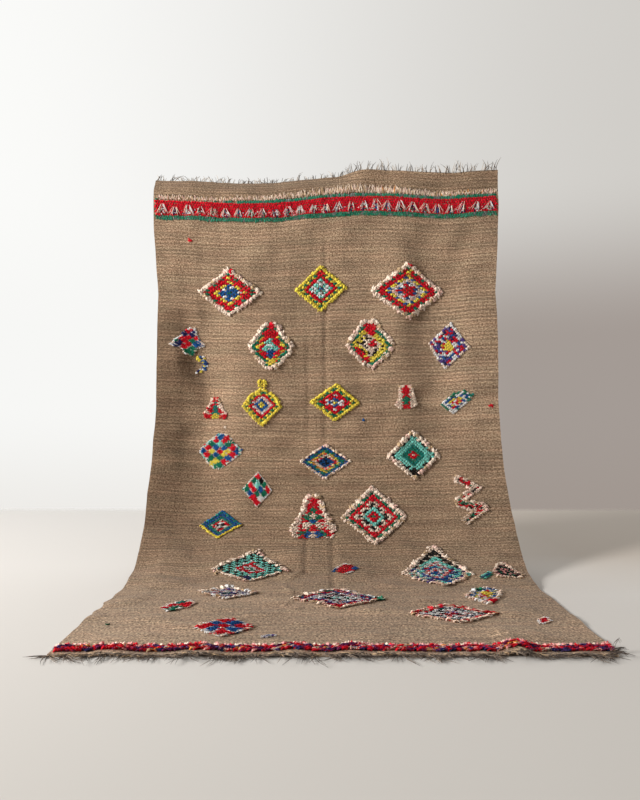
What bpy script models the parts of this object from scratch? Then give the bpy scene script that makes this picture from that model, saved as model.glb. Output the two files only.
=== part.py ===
"""A flat-woven wool rug with raised pile motifs, held up by its top edge and running out over the floor.

The cloth is described in two rug coordinates: across (metres from the rug's middle line, positive to
the viewer's right) and along (metres down from the top edge). A side profile, a few soft folds and a
slack top line turn these into a place in space, and every piece below is built on that one surface.
"""

import math
import random
from collections import namedtuple

import bmesh
import bpy
import numpy as np
from mathutils import Vector
from mathutils.geometry import delaunay_2d_cdt

# The cloth
RUG_WIDTH = 1.70
RUG_LENGTH = 3.115
WEAVE_THICKNESS = 0.005
PIECE_GAP = 0.0003
HALF_WIDTH = RUG_WIDTH / 2

# Where the middle line stands: the box around the finished rug is centred on the origin
MIDDLE_X = -0.005
HANGING_Y = 0.706

# The side profile: it hangs with a slight lean, turns over a long bend and lies flat
HANG_LEAN = math.radians(2.0)
BEND_START = 1.160
BEND_END = 2.440
PROFILE_STEPS = 3100

# The top edge sags between three grips and its left part is rolled back
Drop = namedtuple("Drop", "across drop")
TOP_LINE = (
    Drop(across=-0.85, drop=0.015),
    Drop(across=-0.37, drop=0.038),
    Drop(across=0.19, drop=-0.005),
    Drop(across=0.61, drop=0.022),
    Drop(across=0.85, drop=0.000),
)
TOP_LINE_FADE = 1.6
BELLY_DROP = 0.025
BELLY_ALONG = 1.05
BELLY_REACH = 1.00
ROLL_ANGLE = math.radians(42.0)
ROLL_DEPTH = 0.080
ROLL_SOFTNESS = 0.020
ROLL_ENDS = 0.05
ROLL_FADE = 0.17

# The cloth narrows a little below the grips and drifts to the right on the floor
Narrowing = namedtuple("Narrowing", "along share")
GATHER = (
    Narrowing(along=0.00, share=0.000),
    Narrowing(along=0.60, share=0.045),
    Narrowing(along=0.85, share=0.036),
    Narrowing(along=1.15, share=0.030),
    Narrowing(along=1.60, share=0.000),
    Narrowing(along=2.80, share=0.000),
    Narrowing(along=3.12, share=0.012),
)
FLOOR_DRIFT = 0.010
DRIFT_START = 1.60
DRIFT_LENGTH = 1.40
EDGE_WAVE = 0.006
EDGE_WAVE_PITCH = 0.14
EDGE_WAVE_START = 2.20
EDGE_WAVE_END = 2.95
EDGE_WAVE_REACH = 8

# Soft folds: raised towards the viewer, or upwards on the floor; a negative height is a trough
Fold = namedtuple("Fold", "across half_across along half_along height")
FOLDS = (
    Fold(across=-0.60, half_across=0.24, along=0.95, half_along=1.05, height=-0.034),
    Fold(across=-0.30, half_across=0.22, along=0.80, half_along=0.85, height=0.016),
    Fold(across=0.20, half_across=0.22, along=0.75, half_along=0.80, height=-0.014),
    Fold(across=0.56, half_across=0.20, along=0.80, half_along=0.90, height=-0.026),
    Fold(across=0.36, half_across=0.16, along=0.55, half_along=0.60, height=0.012),
    Fold(across=-0.06, half_across=0.15, along=2.42, half_along=0.30, height=0.007),
)
FRONT_HUMPS = (
    Fold(across=0.556, half_across=0.085, along=3.115, half_along=0.38, height=0.018),
    Fold(across=0.050, half_across=0.070, along=3.115, half_along=0.20, height=0.009),
)

# Pile is knotted through the weave and stands up from it in locks
PILE_HEIGHT = 0.012
PILE_LUMPS = 0.40
RIM_HEIGHT = 0.70
LOCK_PITCH = 0.052
LOCK_DEPTH = 0.009
FULL_LOCK_WIDTH = 0.20
RIM_INSET = 0.0025
FOOT_INSET = 0.0002
SEED = 27

# Outlines of the pile motifs, as shares of half the width and half the height, upwards first
SHAPES = {
    "lozenge": ((0, 1), (1, 0), (0, -1), (-1, 0)),
    "blunt": (
        (-0.12, 1), (0.16, 1), (1, 0.12), (0.94, -0.2),
        (0.14, -1), (-0.2, -1), (-1, -0.1), (-0.9, 0.2),
    ),
    "pear": (
        (-0.3, 1), (0.28, 1), (0.62, 0.42), (1, 0.05), (0.92, -0.3),
        (0.5, -0.72), (0.1, -1), (-0.2, -0.95), (-0.75, -0.4), (-1, 0),
    ),
    "cone": (
        (-0.25, 1), (0.25, 1), (0.6, 0.1), (1, -0.55),
        (0.85, -1), (-0.85, -1), (-1, -0.55), (-0.6, 0.1),
    ),
    "bell": (
        (-0.55, 1), (0.55, 0.95), (0.65, 0.2), (1, -0.65),
        (0.4, -1), (-0.4, -1), (-1, -0.7), (-0.65, 0.1),
    ),
    "leaf": (
        (0.05, 1), (0.4, 0.95), (0.62, 0.2), (1, -0.3), (0.55, -0.45),
        (0.3, -0.95), (-0.1, -1), (-0.45, -0.55), (-1, -0.35), (-0.5, 0.25),
    ),
    "zigzag": (
        (-0.8, 1), (0.8, 0.5), (-0.4, 0.02), (0.95, -0.12), (1, -0.36), (-0.3, -0.9),
        (-0.5, -1), (-0.75, -0.8), (0.1, -0.38), (-0.9, -0.22), (-1, 0.06), (0.1, 0.46), (-0.95, 0.76),
    ),
    "bar": ((-0.75, 0.2), (0.45, 1), (1, 0.55), (0.8, -0.2), (-0.45, -1), (-1, -0.55)),
    "kite": ((0.08, 1), (1, -0.25), (0, -1), (-1, -0.2)),
    "spiked": (
        (-0.2, 1), (0.18, 1), (0.1, 0.6), (0.65, 0.35), (1, -0.15),
        (0, -1), (-1, -0.2), (-0.6, 0.35), (-0.1, 0.6),
    ),
    "leaning": ((0.4, 1), (1, 0.6), (0.6, -0.15), (-0.15, -1), (-1, -0.05), (-0.45, 0.55)),
}

# Yarn colours, linear
CREAM = (0.80, 0.63, 0.46)
YELLOW = (0.80, 0.50, 0.05)
RED = (0.56, 0.010, 0.022)
GREEN = (0.012, 0.115, 0.070)
TEAL = (0.070, 0.360, 0.290)
BLUE = (0.010, 0.080, 0.300)
PURPLE = (0.080, 0.045, 0.150)
WOOL_BROWN = (0.300, 0.205, 0.135)
WARP_DARK = (0.075, 0.055, 0.040)
WOOL_ROUGHNESS = 0.95

# Pile motifs: middle across and along the rug, whole width and height on the cloth, turned by tilt degrees
Motif = namedtuple("Motif", "node shape across along width height colour tilt", defaults=(0,))
MOTIFS = (
    Motif("pile_lozenge_01", "lozenge", across=-0.49, along=0.575, width=0.335, height=0.24, colour=CREAM),
    Motif("pile_lozenge_02", "lozenge", across=-0.025, along=0.565, width=0.27, height=0.225, colour=YELLOW),
    Motif("pile_lozenge_03", "lozenge", across=0.42, along=0.585, width=0.38, height=0.275, colour=CREAM),
    Motif("pile_leaf_04", "leaf", across=-0.705, along=0.825, width=0.18, height=0.14, colour=RED),
    Motif("pile_hook_05", "bar", across=-0.635, along=0.945, width=0.07, height=0.085, colour=BLUE),
    Motif("pile_pear_06", "pear", across=-0.277, along=0.84, width=0.225, height=0.235, colour=CREAM),
    Motif("pile_pear_07", "pear", across=0.228, along=0.84, width=0.25, height=0.235, colour=CREAM),
    Motif(
        "pile_lozenge_08", "lozenge", across=0.625, along=0.855, width=0.205, height=0.24, colour=PURPLE,
        tilt=-8,
    ),
    Motif("pile_cone_09", "cone", across=-0.555, along=1.16, width=0.13, height=0.11, colour=RED),
    Motif("pile_spiked_10", "spiked", across=-0.32, along=1.125, width=0.2, height=0.24, colour=YELLOW),
    Motif(
        "pile_lozenge_11", "lozenge", across=0.048, along=1.12, width=0.255, height=0.19, colour=YELLOW,
        tilt=-3,
    ),
    Motif("pile_bell_12", "bell", across=0.406, along=1.105, width=0.11, height=0.12, colour=CREAM),
    Motif("pile_leaning_13", "leaning", across=0.657, along=1.14, width=0.175, height=0.13, colour=TEAL),
    Motif("pile_blunt_14", "blunt", across=-0.521, along=1.375, width=0.22, height=0.18, colour=RED),
    Motif("pile_lozenge_15", "lozenge", across=0.0, along=1.42, width=0.26, height=0.19, colour=GREEN),
    Motif("pile_lozenge_16", "lozenge", across=0.432, along=1.395, width=0.26, height=0.255, colour=TEAL),
    Motif(
        "pile_lozenge_17", "lozenge", across=-0.329, along=1.57, width=0.14, height=0.19, colour=RED,
        tilt=-8,
    ),
    Motif("pile_zigzag_18", "zigzag", across=0.684, along=1.635, width=0.135, height=0.265, colour=CREAM),
    Motif(
        "pile_lozenge_19", "lozenge", across=-0.49, along=1.76, width=0.205, height=0.165, colour=BLUE,
        tilt=-4,
    ),
    Motif("pile_cone_20", "cone", across=-0.059, along=1.72, width=0.22, height=0.25, colour=CREAM),
    Motif("pile_lozenge_21", "lozenge", across=0.225, along=1.717, width=0.315, height=0.345, colour=CREAM),
    Motif("pile_kite_22", "kite", across=-0.331, along=2.04, width=0.34, height=0.29, colour=CREAM),
    Motif("pile_blunt_23", "blunt", across=0.08, along=2.06, width=0.125, height=0.1, colour=RED),
    Motif("pile_kite_24", "kite", across=0.472, along=2.055, width=0.31, height=0.385, colour=CREAM),
    Motif("pile_bar_25", "bar", across=0.672, along=2.12, width=0.06, height=0.08, colour=GREEN),
    Motif("pile_bar_26", "bar", across=0.765, along=2.07, width=0.105, height=0.15, colour=CREAM),
    Motif("pile_leaning_27", "leaning", across=0.609, along=2.385, width=0.16, height=0.255, colour=BLUE),
    Motif("pile_lozenge_28", "lozenge", across=-0.396, along=2.335, width=0.245, height=0.2, colour=PURPLE),
    Motif("pile_lozenge_29", "lozenge", across=0.035, along=2.43, width=0.37, height=0.31, colour=CREAM),
    Motif("pile_bar_30", "bar", across=-0.557, along=2.535, width=0.115, height=0.16, colour=RED),
    Motif("pile_blunt_31", "blunt", across=-0.354, along=2.82, width=0.19, height=0.205, colour=RED),
    Motif("pile_lozenge_32", "lozenge", across=0.435, along=2.65, width=0.33, height=0.265, colour=PURPLE),
    Motif("pile_bar_33", "bar", across=-0.201, along=2.925, width=0.055, height=0.045, colour=CREAM),
    Motif("pile_bar_34", "bar", across=0.729, along=2.735, width=0.055, height=0.11, colour=CREAM),
)

# Pile bands from edge to edge; a ragged side has locks that stand out by up to that much
Band = namedtuple("Band", "node start end height step colour ragged_start ragged_end", defaults=(0, 0))
BAND_MARGIN = 0.008
BANDS = (
    Band(
        "cream_pile_strip", start=0.085, end=0.113, height=0.012, step=0.062, colour=CREAM,
        ragged_start=0.007,
    ),
    Band("green_pile_line", start=0.113, end=0.125, height=0.005, step=0.062, colour=GREEN),
    Band("red_pile_band", start=0.125, end=0.199, height=0.007, step=0.062, colour=RED),
    Band("green_pile_border", start=0.199, end=0.220, height=0.005, step=0.062, colour=GREEN),
    Band(
        "front_pile_band", start=3.022, end=3.080, height=0.013, step=0.033, colour=RED,
        ragged_start=0.004, ragged_end=0.003,
    ),
)

# Fringes: warp ends rooted in a narrow strip
STRIP_GAP = 0.0006
STRIP_DEPTH = 0.007
STRIP_THICKNESS = 0.0035
STRAND_SHARE = 0.34
STRAND_TAPER = 0.7
STRAND_THICKNESS = 0.0025
TOP_STRAND_BOW = 0.35
STRANDS_PER_COLUMN = 2
FRONT_STRAND_LENGTH = 0.045
TOP_STRAND_LENGTH = 0.036

# Spacing of the cloth's own grid
GRID_ACROSS = 16
GRID_ALONG = 38
BORDER_COLUMNS = 36
BORDER_ROWS = 42
ROLL_ROWS = (0.028, 0.056, 0.085)
HUMP_GRID = 0.045
HUMP_COLUMNS = 3
CLEARANCE_TO_OUTLINE = 0.016


def smooth(t):
    t = min(1.0, max(0.0, t))
    return t * t * (3 - 2 * t)


def bump(t):
    """1 at the middle, 0 from one half-width away on either side."""
    return math.cos(math.pi * t / 2) ** 2 if abs(t) < 1 else 0.0


def side_profile():
    """Forward distance and height at evenly spaced steps down the cloth."""
    along = np.linspace(0, RUG_LENGTH, PROFILE_STEPS + 1)
    share = np.clip((along - BEND_START) / (BEND_END - BEND_START), 0, 1)
    angle = HANG_LEAN + (math.pi / 2 - HANG_LEAN) * share * share * (3 - 2 * share)
    middle = (angle[1:] + angle[:-1]) / 2
    step = RUG_LENGTH / PROFILE_STEPS
    forward = np.concatenate([[0], np.cumsum(np.sin(middle) * step)])
    height = np.concatenate([[0], np.cumsum(np.cos(middle) * step)])
    forward -= np.interp(BEND_START, along, forward)
    return along, forward, height[-1] - height, angle


ALONG, FORWARD, HEIGHT, ANGLE = side_profile()


def top_drop(across):
    """How far the hanging lines sit below a straight one."""
    for left, right in zip(TOP_LINE, TOP_LINE[1:]):
        if across <= right.across:
            break
    share = smooth((across - left.across) / (right.across - left.across))
    return left.drop + (right.drop - left.drop) * share


def slack(across, along):
    top = top_drop(across) * (1 - smooth(along / TOP_LINE_FADE))
    belly = BELLY_DROP * bump(across / (HALF_WIDTH * 1.05)) * bump((along - BELLY_ALONG) / BELLY_REACH)
    return top + belly


def relief(across, along):
    return sum(
        fold.height
        * bump((across - fold.across) / fold.half_across)
        * bump((along - fold.along) / fold.half_along)
        for fold in FOLDS + FRONT_HUMPS
    )


def sideways(across, along):
    narrowing = np.interp(along, [row.along for row in GATHER], [row.share for row in GATHER])
    drift = FLOOR_DRIFT * smooth((along - DRIFT_START) / DRIFT_LENGTH)
    x = across * (1 - narrowing) + drift
    if across < 0 and EDGE_WAVE_START < along < EDGE_WAVE_END:
        middle = (EDGE_WAVE_START + EDGE_WAVE_END) / 2
        window = bump((along - middle) / (EDGE_WAVE_END - middle))
        wave = math.sin(2 * math.pi * along / EDGE_WAVE_PITCH)
        x += EDGE_WAVE * wave * window * (across / HALF_WIDTH) ** EDGE_WAVE_REACH
    return x


def back_point(across, along):
    """The underside of the cloth in space: it is exactly level where it lies on the floor."""
    lowered = along + slack(across, along)
    forward = np.interp(lowered, ALONG, FORWARD)
    height = np.interp(lowered, ALONG, HEIGHT)
    angle = np.interp(lowered, ALONG, ANGLE)
    if lowered < 0:
        forward += lowered * math.sin(HANG_LEAN)
        height -= lowered * math.cos(HANG_LEAN)
    if lowered > RUG_LENGTH:
        forward += lowered - RUG_LENGTH
    rolled = max(0.0, ROLL_DEPTH - along)
    rolled = rolled * rolled / (rolled + ROLL_SOFTNESS)
    turn = ROLL_ANGLE * (1 - smooth((across - along * 0.5 - ROLL_ENDS) / ROLL_FADE))
    forward -= rolled * math.sin(turn)
    height -= rolled * (1 - math.cos(turn))
    raised = relief(across, along)
    forward += raised * math.cos(angle)
    height += raised * math.sin(angle)
    return Vector((MIDDLE_X + sideways(across, along), HANGING_Y - forward, height))


def front_normal(across, along, reach=0.002):
    """Unit vector out of the cloth's face, towards the viewer or up."""
    down = back_point(across, along + reach) - back_point(across, along - reach)
    right = back_point(across + reach, along) - back_point(across - reach, along)
    return down.cross(right).normalized()


def cloth_point(across, along, lift):
    """A point this far above the underside of the cloth."""
    return back_point(across, along) + front_normal(across, along) * lift


def border_point(across, along, lift):
    """A point beyond one end of the cloth, in line with the straight runs of the cloth's own border."""
    step = RUG_WIDTH / BORDER_COLUMNS
    column = min(BORDER_COLUMNS - 1, math.floor((across + HALF_WIDTH) / step))
    left = column * step - HALF_WIDTH
    share = (across - left) / step
    return cloth_point(left, along, lift).lerp(cloth_point(left + step, along, lift), share)


def yarn_material(name, colour):
    material = bpy.data.materials.new(name)
    material.use_nodes = True
    shader = material.node_tree.nodes["Principled BSDF"]
    shader.inputs["Base Color"].default_value = (*colour, 1)
    shader.inputs["Roughness"].default_value = WOOL_ROUGHNESS
    shader.inputs["Metallic"].default_value = 0
    return material


def make_object(name, mesh_maker, colour):
    mesh = bmesh.new()
    mesh_maker(mesh)
    bmesh.ops.recalc_face_normals(mesh, faces=mesh.faces)
    data = bpy.data.meshes.new(name)
    mesh.to_mesh(data)
    mesh.free()
    data.materials.append(yarn_material(name, colour))
    made = bpy.data.objects.new(name, data)
    bpy.context.scene.collection.objects.link(made)
    return made


def locks_along(corners, depth, random_draws):
    """The outline through these corners, with locks of pile that bulge out of its sides."""
    points = []
    for start, end in zip(corners, corners[1:] + corners[:1]):
        side = end - start
        outwards = Vector((side.y, -side.x)).normalized()
        locks = max(1, round(side.length / LOCK_PITCH))
        for number in range(locks):
            points.append(start + side * number / locks)
            if side.length > LOCK_PITCH / 2:
                bulge = depth * random_draws.uniform(0.5, 1.2)
                points.append(start + side * (number + 0.5) / locks + outwards * bulge)
    return points


def motif_outline(motif, random_draws):
    """Points round the motif on the rug, anticlockwise with across to the right and along upwards."""
    tilt = math.radians(motif.tilt)
    corners = []
    for right, up in SHAPES[motif.shape]:
        x = right * motif.width / 2
        y = up * motif.height / 2
        across = motif.across + x * math.cos(tilt) - y * math.sin(tilt)
        along = motif.along - x * math.sin(tilt) - y * math.cos(tilt)
        corners.append(Vector((across, along)))
    return locks_along(corners, LOCK_DEPTH * min(1, motif.width / FULL_LOCK_WIDTH), random_draws)


def band_outline(band, random_draws):
    """Points round a band: its lower edge from left to right, then its upper edge back."""
    reach = HALF_WIDTH - BAND_MARGIN
    steps = round(2 * reach / band.step)
    across = [-reach + 2 * reach * number / steps for number in range(steps + 1)]
    edges = []
    for along, ragged in ((band.start, -band.ragged_start), (band.end, band.ragged_end)):
        edges.append([Vector((x, along + ragged * random_draws.uniform(0, 1))) for x in across])
    return edges[0] + edges[1][::-1]


def cloth_border():
    """Points round the whole cloth."""
    columns = [-HALF_WIDTH + RUG_WIDTH * number / BORDER_COLUMNS for number in range(BORDER_COLUMNS + 1)]
    rows = [RUG_LENGTH * number / BORDER_ROWS for number in range(BORDER_ROWS + 1)]
    border = [Vector((x, 0)) for x in columns]
    border += [Vector((HALF_WIDTH, y)) for y in rows[1:]]
    border += [Vector((x, RUG_LENGTH)) for x in columns[-2::-1]]
    border += [Vector((-HALF_WIDTH, y)) for y in rows[-2:0:-1]]
    return border


def grid_points():
    """Points all over the cloth, closer where the top edge is rolled back."""
    rows = [(along, BORDER_COLUMNS) for along in ROLL_ROWS]
    rows += [(RUG_LENGTH * row / GRID_ALONG, GRID_ACROSS) for row in range(2, GRID_ALONG)]
    for number, (along, columns) in enumerate(rows):
        shift = 0.5 * (number % 2)
        for column in range(1, columns - number % 2):
            yield Vector((-HALF_WIDTH + RUG_WIDTH * (column + shift) / columns, along))


def hump_points():
    """A closer grid over the humps at the front edge."""
    for hump in FRONT_HUMPS:
        for row in range(1, round(hump.half_along / HUMP_GRID)):
            for column in range(-HUMP_COLUMNS, HUMP_COLUMNS + 1):
                across = hump.across + hump.half_across * column / HUMP_COLUMNS
                yield Vector((across, RUG_LENGTH - row * HUMP_GRID))


def cloth_points():
    """The cloth's own grid, with the closer one in its place over the humps."""
    closer = list(hump_points())
    wide = [
        point for point in grid_points()
        if all((point - other).length > HUMP_GRID for other in closer)
    ]
    return wide + closer


def distance_to_outline(point, outline):
    nearest = math.inf
    for start, end in zip(outline, outline[1:] + outline[:1]):
        side = end - start
        share = min(1.0, max(0.0, (point - start).dot(side) / side.length_squared))
        nearest = min(nearest, (start + side * share - point).length)
    return nearest


def cut_triangles(outlines):
    """The cloth cut along these outlines: its points, its triangles, and the triangles in each outline.

    The points start with those of the cloth's border, in their own order.
    """
    points = cloth_border()
    faces = [list(range(len(points)))]
    for outline in outlines:
        faces.append(list(range(len(points), len(points) + len(outline))))
        points += outline
    for point in cloth_points():
        if all(distance_to_outline(point, outline) > CLEARANCE_TO_OUTLINE for outline in outlines):
            points.append(point)
    flat, _, triangles, _, _, owners = delaunay_2d_cdt(points, [], faces, 1, 1e-6, True)
    members = [[] for _ in outlines]
    for triangle, owned_by in zip(triangles, owners):
        for owner in owned_by:
            if owner > 0:
                members[owner - 1].append(triangle)
    return flat, triangles, members


def points_of(triangles):
    return sorted({index for triangle in triangles for index in triangle})


def rim_of(triangles):
    """The directed edges that only one of these triangles has."""
    edges = set()
    for triangle in triangles:
        edges.update(zip(triangle, triangle[1:] + triangle[:1]))
    return [(start, end) for start, end in edges if (end, start) not in edges]


def close_slab(mesh, bottom, bottom_triangles, top, top_triangles):
    """A closed slab from the points and triangles of its two faces, which share the points of their rim."""
    for triangle in bottom_triangles:
        mesh.faces.new([bottom[index] for index in triangle])
    for triangle in top_triangles:
        mesh.faces.new([top[index] for index in reversed(triangle)])
    for start, end in rim_of(top_triangles):
        mesh.faces.new([bottom[end], bottom[start], top[start]])
        mesh.faces.new([bottom[end], top[start], top[end]])


def build_weave(flat, triangles):
    """The woven cloth: the pile's outlines are edge lines in its face, and its back is plain."""
    back_flat, back_triangles, _ = cut_triangles([])

    def fill(mesh):
        back = {i: mesh.verts.new(back_point(*back_flat[i])) for i in points_of(back_triangles)}
        face = {i: mesh.verts.new(cloth_point(*flat[i], WEAVE_THICKNESS)) for i in points_of(triangles)}
        close_slab(mesh, back, back_triangles, face, triangles)

    return make_object("woven_ground", fill, WOOL_BROWN)


def inward_directions(flat, triangles):
    """For each point on the rim of these triangles, the direction on the rug that leads in from it."""
    directions = {}
    for start, end in rim_of(triangles):
        side = flat[end] - flat[start]
        inwards = Vector((-side.y, side.x)).normalized()
        for index in (start, end):
            directions[index] = directions.get(index, Vector((0, 0))) + inwards
    return {index: direction.normalized() for index, direction in directions.items()}


def build_pile(piece, height, flat, triangles, random_draws):
    """A lumpy slab of pile on the cloth, its rim drawn in and a little lower than its middle."""
    foot = WEAVE_THICKNESS + PIECE_GAP
    inwards = inward_directions(flat, triangles)

    def fill(mesh):
        bottom = {}
        top = {}
        for index in points_of(triangles):
            low = high = flat[index]
            lumps = 1 + PILE_LUMPS * random_draws.uniform(-0.5, 0.5)
            if index in inwards:
                low = flat[index] + inwards[index] * FOOT_INSET
                high = flat[index] + inwards[index] * RIM_INSET
                lumps *= RIM_HEIGHT
            bottom[index] = mesh.verts.new(cloth_point(*low, foot))
            top[index] = mesh.verts.new(cloth_point(*high, foot + height * lumps))
        close_slab(mesh, bottom, triangles, top, triangles)

    return make_object(piece.node, fill, piece.colour)


def strand_lean(across):
    """Sideways lean of the warp ends: it changes so slowly that no two cross."""
    return 0.45 * math.sin(8 * across + 1) + 0.30 * math.sin(21 * across)


def strand_ring(mesh, centre, side, normal, half_width, half_thickness):
    ring = []
    for right, up in ((-1, 1), (1, 1), (1, -1), (-1, -1)):
        ring.append(mesh.verts.new(centre + side * right * half_width + normal * up * half_thickness))
    return ring


def floor_strand(mesh, root, across, reach):
    """A warp end that lies on the floor: the ring at its middle and its tip, level underneath."""
    start = (root[2].co + root[3].co) / 2
    lean = strand_lean(across)
    middle = start + Vector((lean * 0.4, -1, 0)) * reach / 2
    middle.z = STRAND_THICKNESS / 2
    tip = start + Vector((lean, -1, 0)) * reach
    tip.z = 0
    half_width = (root[1].co - root[0].co).length * STRAND_TAPER / 2
    ring = strand_ring(mesh, middle, Vector((1, 0, 0)), Vector((0, 0, 1)), half_width, STRAND_THICKNESS / 2)
    return ring, mesh.verts.new(tip)


def standing_strand(mesh, root, across, reach):
    """A warp end that stands on the top edge: the ring at its middle and its tip."""
    start = sum((corner.co for corner in root), Vector()) / 4
    low = (root[3].co + root[2].co) / 2
    high = (root[0].co + root[1].co) / 2
    side = (root[1].co - root[0].co).normalized()
    normal = (high - low).normalized()
    upwards = side.cross(normal) if side.cross(normal).z > 0 else normal.cross(side)
    lean = side * strand_lean(across) + normal * TOP_STRAND_BOW * math.sin(13 * across)
    middle = start + (upwards + lean * 0.4) * reach / 2
    tip = start + (upwards + lean) * reach
    half_width = (root[1].co - root[0].co).length * STRAND_TAPER / 2
    return strand_ring(mesh, middle, side, normal, half_width, STRAND_THICKNESS / 2), mesh.verts.new(tip)


def build_fringe(name, start, direction, make_strand, length, random_draws):
    """Warp ends rooted in a narrow strip, which runs on from the cloth's end in this direction along it."""
    end = start + direction * STRIP_DEPTH
    column = RUG_WIDTH / BORDER_COLUMNS
    pitch = column / STRANDS_PER_COLUMN
    cuts = [(-HALF_WIDTH, False)]
    for left in np.arange(BORDER_COLUMNS) * column - HALF_WIDTH:
        for number in range(STRANDS_PER_COLUMN):
            root = left + pitch * (number + 0.5 - STRAND_SHARE / 2)
            cuts += [(root, True), (root + pitch * STRAND_SHARE, False)]
        cuts.append((left + column, False))

    def section(mesh, across):
        """The strip's corners here: root low, root high, outer high, outer low."""
        corners = ((start, 0), (start, STRIP_THICKNESS), (end, STRIP_THICKNESS), (end, 0))
        return [mesh.verts.new(border_point(across, along, lift)) for along, lift in corners]

    def wall(mesh, near, far, open_side=None):
        for first in range(4):
            if first != open_side:
                second = (first + 1) % 4
                mesh.faces.new([near[first], near[second], far[second], far[first]])

    def fill(mesh):
        sections = [section(mesh, across) for across, _ in cuts]
        mesh.faces.new(sections[0])
        mesh.faces.new(sections[-1])
        for (across, is_root), near, far in zip(cuts, sections, sections[1:]):
            if not is_root:
                wall(mesh, near, far)
                continue
            wall(mesh, near, far, open_side=2)
            root = [near[2], far[2], far[3], near[3]]
            reach = length * random_draws.uniform(0.6, 1.4)
            ring, tip = make_strand(mesh, root, across, reach)
            wall(mesh, root, ring)
            for first in range(4):
                mesh.faces.new([ring[first], ring[(first + 1) % 4], tip])
        bmesh.ops.triangulate(mesh, faces=mesh.faces)

    return make_object(name, fill, WARP_DARK)


def clear_scene():
    for old in list(bpy.data.objects):
        bpy.data.objects.remove(old, do_unlink=True)


def build_rug():
    random_draws = random.Random(SEED)
    outlines = [motif_outline(motif, random_draws) for motif in MOTIFS]
    outlines += [band_outline(band, random_draws) for band in BANDS]
    flat, triangles, members = cut_triangles(outlines)
    build_weave(flat, triangles)
    for motif, inside in zip(MOTIFS, members):
        build_pile(motif, PILE_HEIGHT, flat, inside, random_draws)
    for band, inside in zip(BANDS, members[len(MOTIFS):]):
        build_pile(band, band.height, flat, inside, random_draws)
    build_fringe("top_fringe", -STRIP_GAP, -1, standing_strand, TOP_STRAND_LENGTH, random_draws)
    front = RUG_LENGTH + STRIP_GAP
    build_fringe("front_fringe", front, 1, floor_strand, FRONT_STRAND_LENGTH, random_draws)


clear_scene()
build_rug()
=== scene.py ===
"""The finish of a flat-woven wool rug with raised pile motifs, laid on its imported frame."""

import math
import random
from collections import namedtuple

import bpy
import numpy as np
from mathutils import Matrix, Vector


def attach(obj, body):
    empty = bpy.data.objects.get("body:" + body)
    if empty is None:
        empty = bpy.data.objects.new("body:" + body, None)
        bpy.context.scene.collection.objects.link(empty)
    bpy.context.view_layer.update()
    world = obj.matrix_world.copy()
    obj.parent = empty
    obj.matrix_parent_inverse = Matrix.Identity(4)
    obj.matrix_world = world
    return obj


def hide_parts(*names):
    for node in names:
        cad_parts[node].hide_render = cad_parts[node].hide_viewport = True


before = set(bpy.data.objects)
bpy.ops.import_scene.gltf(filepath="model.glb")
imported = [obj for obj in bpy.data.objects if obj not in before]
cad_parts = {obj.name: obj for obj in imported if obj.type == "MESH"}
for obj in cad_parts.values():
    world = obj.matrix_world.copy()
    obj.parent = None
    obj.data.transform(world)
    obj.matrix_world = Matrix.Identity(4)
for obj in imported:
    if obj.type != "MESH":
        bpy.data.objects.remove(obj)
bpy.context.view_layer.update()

# The cloth and how it hangs, as the solids have it
RUG_WIDTH = 1.70
RUG_LENGTH = 3.115
HALF_WIDTH = RUG_WIDTH / 2
WEAVE_THICKNESS = 0.005
MIDDLE_X = -0.005
HANGING_Y = 0.706
HANG_LEAN = math.radians(2.0)
BEND_START = 1.160
BEND_END = 2.440
PROFILE_STEPS = 3100

Drop = namedtuple("Drop", "across drop")
TOP_LINE = (
    Drop(across=-0.85, drop=0.022),
    Drop(across=-0.37, drop=0.038),
    Drop(across=0.19, drop=-0.001),
    Drop(across=0.61, drop=0.014),
    Drop(across=0.85, drop=0.000),
)
TOP_LINE_FADE = 1.6
BELLY_DROP = 0.025
BELLY_ALONG = 1.05
BELLY_REACH = 1.00
BELLY_HALF_WIDTH = HALF_WIDTH * 1.05
ROLL_ANGLE = math.radians(42.0)
ROLL_DEPTH = 0.080
ROLL_SOFTNESS = 0.020
ROLL_SLANT = 0.5
ROLL_ENDS = 0.05
ROLL_FADE = 0.17

# How much narrower the rug hangs than it would lie flat
Narrowing = namedtuple("Narrowing", "along share")
GATHER = (
    Narrowing(along=0.00, share=0.000),
    Narrowing(along=0.60, share=0.045),
    Narrowing(along=0.85, share=0.036),
    Narrowing(along=1.15, share=0.030),
    Narrowing(along=1.60, share=0.000),
    Narrowing(along=2.80, share=0.000),
    Narrowing(along=3.12, share=0.012),
)
# How much further than that each edge stands out
Reach = namedtuple("Reach", "along left right")
EDGE_REACH = (
    Reach(along=0.00, left=0.000, right=0.004),
    Reach(along=0.25, left=0.014, right=0.019),
    Reach(along=0.60, left=0.011, right=0.025),
    Reach(along=0.85, left=0.009, right=0.028),
    Reach(along=1.15, left=0.004, right=0.022),
    Reach(along=1.60, left=0.004, right=0.024),
    Reach(along=1.76, left=-0.002, right=0.032),
    Reach(along=2.00, left=-0.008, right=0.023),
    Reach(along=2.20, left=-0.014, right=0.011),
    Reach(along=2.45, left=-0.008, right=0.014),
    Reach(along=2.70, left=-0.006, right=0.004),
    Reach(along=3.12, left=0.000, right=0.000),
)
EDGE_REACH_POWER = 6
FLOOR_DRIFT = 0.010
DRIFT_START = 1.60
DRIFT_LENGTH = 1.40
EDGE_WAVE = 0.006
EDGE_WAVE_PITCH = 0.14
EDGE_WAVE_START = 2.20
EDGE_WAVE_END = 2.95
EDGE_WAVE_REACH = 8

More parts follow.
